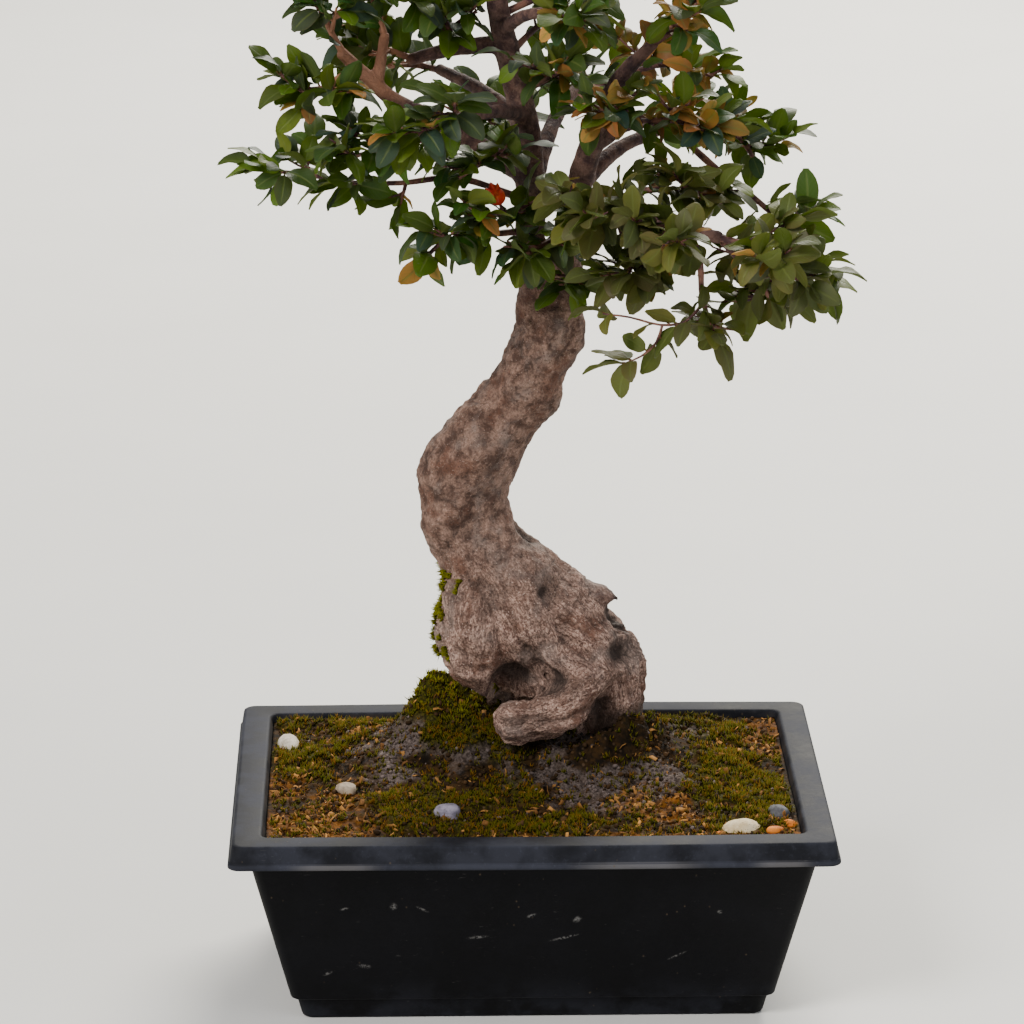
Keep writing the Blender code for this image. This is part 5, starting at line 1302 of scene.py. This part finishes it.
# thin bare twigs that trail below the front pad
trailingTwigs = {
    "spray_pad_hanging": (
        ((27.1, -25.3, 124.0), (24.5, -26.0, 121.4), (20.4, -26.0, 120.9), (15.5, -26.0, 122.2),
         (11.2, -26.0, 122.8)),
        ((20.8, -26.0, 120.9), (19.8, -26.2, 118.0), (17.4, -26.4, 115.8), (14.6, -26.5, 114.6)),
    ),
}
budShape = dict(
    spray="spray_centre_low", stalk=((-4.6, -6.6, 134.8), (-5.2, -9.4, 137.6)), axis=(-0.25, -0.75, 0.62),
    length=4.4, radius=1.35, clearance=3.9, rows=22, columns=36, lobes=6,
)


def frameAt(path, share):
    # the point and the direction at this share of a path's length
    steps = np.linalg.norm(np.diff(path, axis=0), axis=1)
    along = np.concatenate([[0.0], np.cumsum(steps)])
    target = share * along[-1]
    i = min(max(int(np.searchsorted(along, target)) - 1, 0), len(steps) - 1)
    return path[i] + (path[i + 1] - path[i]) * (target - along[i]) / steps[i], unit(path[i + 1] - path[i])


def levelAcross(along):
    # the level direction across a stem, or +X where the stem is upright
    across = np.cross(along, up)
    return unit(across) if np.linalg.norm(across) > 0.2 else np.array([1.0, 0.0, 0.0])


def sideShoot(stem, share, side, reach, rng):
    # a short shoot off the stem, to one side and slightly up, as three points
    g = growth
    base, along = frameAt(stem, share)
    turn, lift = np.radians(rng.uniform(*g["shootTurn"])), np.radians(rng.uniform(*g["shootLift"]))
    way = np.cos(turn) * along + np.sin(turn) * (np.cos(lift) * side * levelAcross(along) + np.sin(lift) * up)
    length = reach * (1.05 - 0.35 * share) * rng.uniform(*g["shootLengths"])
    bend = up * g["shootBend"] * length
    return np.array([base, base + way * length * 0.5 + bend * 0.2, base + way * length + bend])


def woodGap(points, wood):
    # the least distance from any of the points to the wood's surface
    return (np.linalg.norm(points[:, None] - wood[None, :, :3], axis=2) - wood[:, 3]).min()


def growShoots(stems, wood):
    # side shoots for every spray, kept clear of the wood and of the other sprays
    g = growth
    taken = {name: smoothPath(stem, 1.0) for name, stem in stems.items()}
    shoots = {}
    for number, (name, spray) in enumerate(sprays.items()):
        rng = np.random.default_rng(g["shootSeed"] + number)
        stem = smoothPath(stems[name], 1.0)
        others = np.vstack([path for other, path in taken.items() if other != name])
        grown = []
        for k in range(spray.shoots):
            share = spray.bare + (g["shootLast"] - spray.bare) * (k + 0.6) / spray.shoots
            for attempt in range(g["shootTries"]):
                side = 1.0 if (k + attempt) % 2 else -1.0
                reach = spray.reach * (1.0 - 0.5 * attempt / g["shootTries"])
                shoot = sideShoot(stem, share, side, reach, rng)
                tail = smoothPath(shoot, 1.0)[2:]
                clear = nearest(tail, others).min() > g["shootClearance"]
                if clear and woodGap(tail, wood) > g["shootWoodClearance"]:
                    grown.append(shoot)
                    break
        for extra in (hangingShoot.get(name), budShape["stalk"] if name == budShape["spray"] else None):
            if extra:
                grown.append(np.array([extra[0], np.mean(extra, axis=0), extra[1]]))
        shoots[name] = grown
        taken[name] = np.vstack([taken[name]] + [smoothPath(s, 1.0) for s in grown])
    return shoots, taken


def leafSites(axis, start, spacing):
    # where leaves grow along an axis: three at its tip, then opposite pairs, each turned from the last
    g = growth
    length = np.linalg.norm(np.diff(axis, axis=0), axis=1).sum()
    places = (0.98, 1.0 - g["tipStep"] / length, 1.0 - g["tipStep"] / length)
    sites = [(*frameAt(axis, share), *angles, True) for share, angles in zip(places, g["tipLeaves"])]
    count = max(1, int(length * (1 - start) / spacing))
    for k in range(count):
        share = max(1.0 - (k + 0.9) * (1 - start) / count, 0.02)
        turn = g["leafTurns"][k % 2]
        sites += [(*frameAt(axis, share), turn + opposite, g["leafSpread"], False) for opposite in (0, 180)]
    return sites


def leafAt(site, lengths, rng):
    # one leaf at a site: its root, its direction, the way across its blade, and its length
    g = growth
    base, along, turn, spread, _ = site
    across = levelAcross(along)
    over = np.cross(across, along)
    turn = np.radians(turn + rng.uniform(-g["turnPlay"], g["turnPlay"]))
    spread = np.radians(spread + rng.uniform(-g["spreadPlay"], g["spreadPlay"]))
    out = np.cos(turn) * across + np.sin(turn) * over
    way = unit(np.cos(spread) * along + np.sin(spread) * out + up * rng.uniform(-0.25, 0.15))
    side = unit(np.cross(up + 0.5 * rng.normal(size=3) - 0.35 * way, way))
    return base, way, side, rng.uniform(*lengths)


def leafMarks(leaf):
    # points over the blade, from near its stalk to its tip
    g = growth
    base, way, side, length = leaf
    half = length * g["widthShare"] / 2
    spots = [(t, s * w) for t, w in g["marks"] for s in (-1, 0, 1)] + [(g["tipMark"], 0)]
    return np.array([base + way * length * t + side * half * s for t, s in spots])


def leafFits(marks, own, others, wood, bud, margin, clearance):
    # true if the leaf keeps to the space nearer to its own spray than to anything else
    if np.any(nearest(marks, own) + margin > nearest(marks, others)):
        return False
    if np.linalg.norm(marks - bud, axis=1).min() < budShape["clearance"]:
        return False
    return woodGap(marks, wood) > clearance


def placeLeaves(sites, order, limits, lengths, covered, own, others, wood, bud, rng):
    # tries each site a few times and keeps the leaves that cross none of the others
    apart, margin, clearance, tries, most = limits
    kept = []
    for i in order:
        if len(kept) >= most:
            break
        for _ in range(tries):
            leaf = leafAt(sites[i], lengths, rng)
            marks = leafMarks(leaf)
            clear = nearest(marks, covered).min() > apart
            if clear and leafFits(marks, own, others, wood, bud, margin, clearance):
                kept.append(leaf)
                covered = np.vstack([covered, marks])
                break
    return kept, covered


def shuffledSites(axes, spacing, rng):
    # the leaf sites on some (path, bare share) axes, and a random order to try them in, tips first
    sites = sum((leafSites(axis, bare, spacing) for axis, bare in axes), [])
    return sites, sorted(rng.permutation(len(sites)), key=lambda i: not sites[i][-1])


def growLeaves(stems, shoots, taken, wood):
    # the leaves that the frame's solids have, then fine twigs and more leaves in the room between them
    g = growth
    bud = np.array(budShape["stalk"][1]) + unit(np.array(budShape["axis"])) * budShape["length"] / 2
    nothing = np.full((1, 3), 1e6)
    leaves, twigs = {}, {}
    for number, (name, spray) in enumerate(sprays.items()):
        rng = np.random.default_rng(g["leafSeed"] + number)
        # the bud's own stalk bears no leaves
        bearing = shoots[name][:-1] if name == budShape["spray"] else shoots[name]
        axes = [(smoothPath(stems[name], 1.0), spray.bare)]
        axes += [(smoothPath(shoot, 1.0), g["shootBare"]) for shoot in bearing]
        others = np.vstack([path for other, path in taken.items() if other != name])
        limits = (g["leafApart"], g["cellMargin"], g["woodClearance"], g["leafTries"], math.inf)
        room = (taken[name], others, wood, bud, rng)
        sites, order = shuffledSites(axes, g["nodeSpacing"], rng)
        first = placeLeaves(sites, order, limits, g["leafLengths"], nothing, *room)[0][: spray.leaves]

        rng = np.random.default_rng(g["moreSeed"] + number)
        fine = [np.array(twig) for twig in trailingTwigs.get(name, ())]
        for _ in range(g["twigsPerSpray"]):
            axis, bare = axes[rng.integers(len(axes))]
            length = rng.uniform(*g["twigLengths"])
            twig = sideShoot(axis, rng.uniform(max(bare, 0.15), 0.9), rng.choice([-1.0, 1.0]), length, rng)
            clear = nearest(twig[1:], others).min() > g["twigClearance"]
            if clear and woodGap(twig[1:], wood) > g["shootWoodClearance"]:
                fine.append(twig)
        twigs[name] = fine
        own = np.vstack([taken[name]] + [smoothPath(twig, 1.0) for twig in fine])
        more = [(axes[0][0], leafyStems.get(name, spray.bare))] + axes[1:]
        more += [(smoothPath(twig, 1.0), g["twigBare"]) for twig in fine]
        sites, order = shuffledSites(more, g["moreSpacing"], rng)
        limits = (g["moreApart"], g["moreMargin"], g["moreWoodClearance"], g["moreTries"], spray.more)
        covered = np.vstack([leafMarks(leaf) for leaf in first]) if first else nothing
        added, _ = placeLeaves(sites, order, limits, g["moreLengths"], covered, own, others, wood, bud, rng)
        first = [(base, way, side, length * g["bladeShare"]) for base, way, side, length in first]
        leaves[name] = first + added
    return leaves, twigs


# Leaves: every blade of a spray at once, a closed thin loop carried along each blade's length

leafShape = dict(
    rows=(0.0, 0.10, 0.15, 0.23, 0.35, 0.49, 0.63, 0.77, 0.89, 0.965, 1.0), foot=0.10,
    across=(-1.0, -0.5, 0.0, 0.5, 1.0, 0.5, 0.0, -0.5), facing=(0.0, 1.0, 1.0, 1.0, 0.0, -1.0, -1.0, -1.0),
    halfThick=0.11, leastHalf=0.10, stalkHalf=0.17, fold=0.20, arch=0.085, droop=0.16, ripple=0.035,
)


def bladeHalf(t):
    # half width along the blade, as a share of its widest: a sine of the way along it, blunted at the tip
    s = np.clip((t - leafShape["foot"]) / (1 - leafShape["foot"]), 0, 1)
    return np.where(t < leafShape["foot"] + 0.001, 0.0, np.maximum(np.sin(np.pi * s**0.92) ** 0.54, 0.24 * s))


def leafArrays(leaves, young, rng):
    # point = root + way * x + side * y + over * z, where y follows the blade's outline,
    # and z adds the arch, the droop to the tip, the fold along the midrib and a ripple at the edge
    s = leafShape
    base, way, side = (np.array([leaf[k] for leaf in leaves]) for k in range(3))
    length = np.array([leaf[3] for leaf in leaves]) * np.where(young > 0.5, growth["youngShare"], 1.0)
    over = np.cross(way, side)
    count, rows, columns = len(leaves), len(s["rows"]), len(s["across"])
    t = np.array(s["rows"])[None, :, None]
    u = np.array(s["across"])[None, None, :]
    facing = np.array(s["facing"])[None, None, :]

    def vary(low, high):
        # a random amount for each leaf
        return rng.uniform(low, high, count)[:, None, None]

    long = length[:, None, None]
    blade = long * growth["widthShare"] / 2 * vary(0.86, 1.10) * bladeHalf(t)
    half = np.maximum(blade + s["stalkHalf"] * (1 - t) * (t < 0.25), s["leastHalf"])
    x = t * long * np.ones_like(u)
    y = u * half
    arch = s["arch"] * vary(0.2, 1.7) * long * (1 - (2 * t - 1) ** 2)
    droop = -s["droop"] * vary(-0.2, 1.5) * long * t**2.2
    fold = s["fold"] * vary(-0.2, 1.8) * np.abs(u) ** 1.3 * half
    ripple = s["ripple"] * long * u**2 * np.sin(9.0 * t + vary(0, 6.3) + 1.4 * u) * bladeHalf(t)
    twist = vary(-0.28, 0.28) * t * y
    stalk = np.where(t < 0.12, 1.6, 1.0)
    z = arch + droop + fold + ripple + twist + s["halfThick"] * stalk * facing
    points = (base[:, None, None] + way[:, None, None] * x[..., None]
              + side[:, None, None] * y[..., None] + over[:, None, None] * z[..., None])
    size = rows * columns
    start = (np.arange(count) * size)[:, None, None]
    quads = (gridQuads(rows, columns, True)[None, :, ::-1] + start).reshape(-1, 4)
    ends = np.stack([np.arange(columns), np.arange(columns)[::-1] + size - columns])
    caps = (ends[None] + start).reshape(-1, columns)
    u, t, facing = (np.broadcast_to(share, (count, rows, columns)).ravel() for share in (u, t, facing))
    uv = np.stack([u / 2 + 0.5, t], axis=1)
    return points.reshape(-1, 3), [quads, caps], np.abs(u) == 1.0, uv, facing < 0


def leafAges(roots, rng):
    # how young each leaf is: many bronze ones in the upper right of the crown, few elsewhere
    x, _, z = roots.T
    near = np.exp(-(((x - 21.0) / 18.0) ** 2) - ((z - 158.0) / 15.0) ** 2)
    chance = 0.03 + 0.58 * near
    return np.where(rng.uniform(size=len(roots)) < chance, rng.uniform(0.5, 1.0, len(roots)),
                    rng.uniform(0.0, 0.12, len(roots)))


def padSheenShare(roots):
    # painted sheen: the pad that reaches to the front right is painted a paler, duller olive
    x, y, z = roots.T
    return ramp(-y, 5.0, 16.0) * ramp(x, -4.0, 6.0) * (1 - ramp(z, 143.0, 150.0))


def makeSpray(name, number, paths, leaves, finishes):
    # paths are the stem, the side shoots and the twigs, each kind thinner than the one before
    g = growth
    rng = np.random.default_rng(g["lookSeed"] + number)
    tubes = []
    for kind, ends, step, sides in zip(paths, ("stem", "shoot", "twig"), g["pathSteps"], g["sides"]):
        for given in kind:
            path = smoothPath(given, step)
            knobbly = 1 + g["knobs"] * roughNoise(path, 2.0, 2, 61)
            radius = np.linspace(*g[ends + "Radius"], len(path)) * knobbly
            tubes.append(tube(np.column_stack([path, radius]), sides))
    woodPoints, woodBlocks = stacked(tubes)
    roots = np.array([leaf[0] for leaf in leaves])
    young = leafAges(roots, rng)
    leafPoints, leafBlocks, edge, uv, under = leafArrays(leaves, young, rng)
    points, blocks = stacked([(woodPoints, woodBlocks), (leafPoints, leafBlocks)])
    pieceName = name.replace("spray_", "foliage_")
    mesh = meshOf(pieceName, points, blocks)
    # the wood comes first and has none of the blades' fields
    none = np.zeros(len(woodPoints))
    tint = rng.uniform(0, 1, len(leaves))
    bladePoints = len(leafPoints) // len(leaves)
    for field, values in (("tint", tint), ("young", young), ("padSheen", padSheenShare(roots))):
        setField(mesh, field, np.concatenate([none, np.repeat(values, bladePoints)]))
    setField(mesh, "under", np.concatenate([none, under]))
    allUv = np.concatenate([np.zeros((len(woodPoints), 2)), uv])
    corners = np.empty(len(mesh.loops), np.int32)
    mesh.loops.foreach_get("vertex_index", corners)
    mesh.uv_layers.new(name="blade").data.foreach_set("uv", allUv[corners].astype(np.float32).ravel())
    shadeSmooth(mesh, np.concatenate([none.astype(bool), edge]))
    firstCorner = np.empty(len(mesh.polygons), np.int32)
    mesh.polygons.foreach_get("loop_start", firstCorner)
    mesh.polygons.foreach_set("material_index", (corners[firstCorner] >= len(woodPoints)).astype(np.int32))
    for finish in finishes:
        mesh.materials.append(finish)
    foliage = placed(pieceName, mesh)
    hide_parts(name)
    return len(leaves), len(mesh.polygons)


def twigFinish():
    # thin smooth bark, purple-brown with peach streaks, and all peach about the left fork
    f = Finish("youngTwigBark")
    p = f.places()
    blotch, fine = f.noise(p, 2.4, 3.0), f.noise(p, 0.4, 3.0, 0.6)
    colour = f.mix(blotch.between(0.38, 0.66), (0.060, 0.022, 0.024), (0.240, 0.105, 0.070))
    colour = f.mix(fine.between(0.55, 0.72) * 0.5, colour, (0.42, 0.24, 0.16))
    return f.surface(peachFork(f, p, colour), 0.55 + 0.25 * fine, f.bump(fine, 0.06, 0.6), specular=0.4)


def leafFinish():
    # satin blades: deep blue-green to mid green above, the blue-green a painted reflection of the sky, paler
    # below, with a light midrib, faint side veins, bronze young leaves, a painted sheen that makes the front
    # right pad a paler olive, and light that passes through
    f = Finish("pomegranateLeaf")
    p = f.places()
    uv = f.node("ShaderNodeUVMap", {"uv_map": "blade"})
    u, v = f.axis(uv, "X"), f.axis(uv, "Y")
    tint, young, under = f.field("tint"), f.field("young"), f.field("under")
    out = (u - 0.5).size() * 2
    broad, fine = f.noise(p, 5.0, 3.0), f.noise(p, 0.55, 3.0, 0.6)
    midrib = (1 - out.between(0.03, 0.16)) * (1 - v.between(0.86, 1.0))
    ribs = f.waves(v * 46 - out * 15)
    sideVeins = ribs.between(0.80, 1.0) * (1 - out.between(0.55, 0.95)) * out.between(0.05, 0.2)
    # the blue-green first colour is a painted reflection of the sky, on the leaves of low tint
    top = f.mix(tint.between(0.0, 0.55), (0.0160, 0.0480, 0.0430), (0.0200, 0.0880, 0.0030))
    top = f.mix(tint.between(0.60, 1.0) * 0.85, top, (0.1150, 0.2200, 0.0050))
    top = f.mix(broad.between(0.44, 0.64) * 0.40, top, (0.0120, 0.0600, 0.0180))
    below = f.mix(tint, (0.0400, 0.0900, 0.0260), (0.1300, 0.1900, 0.0150))
    colour = f.mix(under, top, below)
    # painted sheen: the front right pad is paler and duller
    colour = f.mix(f.field("padSheen") * 0.62, colour, (0.1150, 0.1020, 0.0320))
    bronze = f.mix(tint, (0.380, 0.100, 0.022), (0.720, 0.330, 0.080))
    colour = f.mix(young * (0.70 + 0.30 * out), colour, bronze)
    colour = f.mix(midrib * 0.5, colour, (0.170, 0.200, 0.050))
    colour = f.mix(sideVeins * 0.28, colour, (0.100, 0.150, 0.035))
    colour = f.mix((1 - v.between(0.02, 0.13)) * 0.8, colour, (0.300, 0.090, 0.055))
    colour = f.mix(out.between(0.86, 1.0) * 0.25, colour, (0.120, 0.060, 0.020))
    roughness = 0.44 + 0.16 * fine + 0.22 * under
    height = 0.5 * fine + 0.5 * broad - 1.4 * midrib - 0.6 * sideVeins
    normal = f.bump(height, 0.07, 0.6)
    return f.surface(colour, roughness, normal, specular=0.34, glow=((0.320, 0.440, 0.012), 0.34))


def makeBud():
    # An urn round its axis: the radius swells, narrows at a neck and flares to a crown of pointed lobes,
    # whose tips rise with the cosine of the angle; both ends close in a pole.
    s = budShape
    t = np.linspace(0, 1, s["rows"])[:, None]
    angle = (np.arange(s["columns"]) * 2 * np.pi / s["columns"])[None, :]
    lobe = np.cos(s["lobes"] * angle)
    outer = 0.42 + 0.62 * np.sin(np.pi * np.clip(t / 0.78, 0, 1) ** 0.9) + 0.50 * ramp(t, 0.70, 1.0)
    outer = outer * (1 + 0.05 * lobe * ramp(t, 0.15, 0.6))
    height = t * s["length"] + 0.50 * ramp(t, 0.72, 1.0) * (lobe - 0.4)
    inner = outer[-1:] * np.array([0.80, 0.45])[:, None]
    innerHeight = np.vstack([height[-1] - 0.35, np.full(s["columns"], 0.86 * s["length"])])
    radius = np.vstack([outer * np.ones_like(angle), inner * np.ones_like(angle)]) * s["radius"]
    height = np.vstack([height * np.ones_like(angle), innerHeight])
    local = np.stack([radius * np.cos(angle), radius * np.sin(angle), height], axis=-1).reshape(-1, 3)
    local = np.vstack([local, [[0, 0, -0.15], [0, 0, 0.84 * s["length"]]]])
    axis = unit(np.array(s["axis"]))
    side = levelAcross(axis)
    turn = np.stack([side, np.cross(axis, side), axis], axis=1)
    points = local @ turn.T + np.array(s["stalk"][1]) + axis * 0.2
    mesh = meshOf("flowerBud", points, closedGrid(*radius.shape))
    shadeSmooth(mesh)
    mesh.materials.append(budFinish())
    bud = placed("flowerBud", mesh)
    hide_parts("flower_bud")
    print("bud")


def budFinish():
    # waxy orange-red, deeper red in patches, with fine pale dots
    f = Finish("waxyBud")
    p = f.places()
    broad, fine = f.noise(p, 1.6, 3.0), f.noise(p, 0.25, 3.0, 0.6)
    colour = f.mix(broad.between(0.36, 0.66), (0.75, 0.030, 0.006), (0.95, 0.150, 0.012))
    colour = f.mix(fine.between(0.60, 0.74) * 0.4, colour, (0.90, 0.35, 0.12))
    roughness, normal = 0.32 + 0.2 * fine, f.bump(fine, 0.05, 0.4)
    return f.surface(colour, roughness, normal, coat=0.25, glow=((1.00, 0.14, 0.01), 0.22))


def makeCrown():
    wood = np.vstack(woodRuns(1.0))
    stems = {name: np.array(spray.stem) for name, spray in sprays.items()}
    shoots, taken = growShoots(stems, wood)
    leaves, twigs = growLeaves(stems, shoots, taken, wood)
    finishes = (twigFinish(), leafFinish())
    totals = np.array([
        makeSpray(name, number, ([stems[name]], shoots[name], twigs[name]), leaves[name], finishes)
        for number, name in enumerate(sprays)
    ])
    print("crown", totals[:, 0].sum(), "leaves", totals[:, 1].sum(), "faces")


# Camera, light and floor

view = dict(
    place=(-20.8, -774.6, 316.1), yaw=1.32, pitch=16.84, lens=168.2, sensor=36.0,
    # name: place in metres, aim in metres, width in metres, watts, colour
    lamps=(
        ("keyLight", (-0.80, -0.80, 1.05), (0.0, 0.0, 0.10), 0.6, 19.0, (1.0, 0.97, 0.93)),
        ("fillLight", (0.95, -0.70, 0.55), (0.0, 0.0, 0.10), 0.8, 3.5, (0.90, 0.95, 1.0)),
        ("backLight", (0.25, 1.00, 0.75), (0.0, 0.0, 0.13), 0.6, 26.0, (1.0, 0.96, 0.86)),
    ),
    world=(0.88, 0.91, 0.95), worldStrength=0.48,
    # the radii of the floor's rings, in metres
    floorRings=(0.3, 1.0, 2.0, 4.0), floorSides=64,
)


def makeFloor():
    # a flat disc: rings of points about the middle, closed by a fan
    radius, sides = np.array(view["floorRings"]) / mm, view["floorSides"]
    angle = np.arange(sides) * 2 * np.pi / sides
    x, y = radius[:, None] * np.cos(angle), radius[:, None] * np.sin(angle)
    ring = np.stack([x, y, np.zeros_like(x)], axis=-1).reshape(-1, 3)
    first, second = np.arange(sides), np.roll(np.arange(sides), -1)
    fan = np.stack([np.full(sides, len(ring)), first, second], axis=1)
    skin = gridQuads(len(radius), sides, True)[:, ::-1]
    mesh = meshOf("paleFloor", np.vstack([ring, [[0, 0, 0]]]), [fan, skin])
    floor = placed("paleFloor", mesh, None)
    f = Finish("paleTable")
    p = f.places()
    colour = f.mix(f.noise(p, 60.0, 3.0), (0.74, 0.73, 0.70), (0.80, 0.79, 0.76))
    mesh.materials.append(f.surface(colour, 0.6, specular=0.25))


def makeLights():
    for name, place, aim, width, watts, colour in view["lamps"]:
        lamp = bpy.data.lights.new(name, "AREA")
        lamp.shape, lamp.size, lamp.energy, lamp.color = "DISK", width, watts, colour
        holder = bpy.data.objects.new(name, lamp)
        holder.location = place
        holder.rotation_euler = (Vector(aim) - Vector(place)).to_track_quat("-Z", "Y").to_euler()
        bpy.context.scene.collection.objects.link(holder)
    world = bpy.data.worlds.new("softStudio")
    bpy.context.scene.world = world
    world.use_nodes = True
    sky = world.node_tree.nodes["Background"]
    sky.inputs["Color"].default_value = (*view["world"], 1.0)
    sky.inputs["Strength"].default_value = view["worldStrength"]


def makeCamera():
    yaw, pitch = math.radians(view["yaw"]), math.radians(view["pitch"])
    forward = Vector((math.sin(yaw) * math.cos(pitch), math.cos(yaw) * math.cos(pitch), -math.sin(pitch)))
    lens = bpy.data.cameras.new("photoView")
    lens.lens, lens.sensor_width, lens.clip_start = view["lens"], view["sensor"], 0.01
    holder = bpy.data.objects.new("photoView", lens)
    holder.location = Vector(view["place"]) * mm
    holder.rotation_euler = forward.to_track_quat("-Z", "Y").to_euler()
    bpy.context.scene.collection.objects.link(holder)
    bpy.context.scene.camera = holder


makeCamera()
makeLights()
makeFloor()
makePot()
makeSoil()
makeStones()
makeLitter()
mossGreen = mossFinish()
makeMoss(mossGreen)
makeBarkMoss(makeTrunk(), mossGreen)
makeCrown()
makeBud()
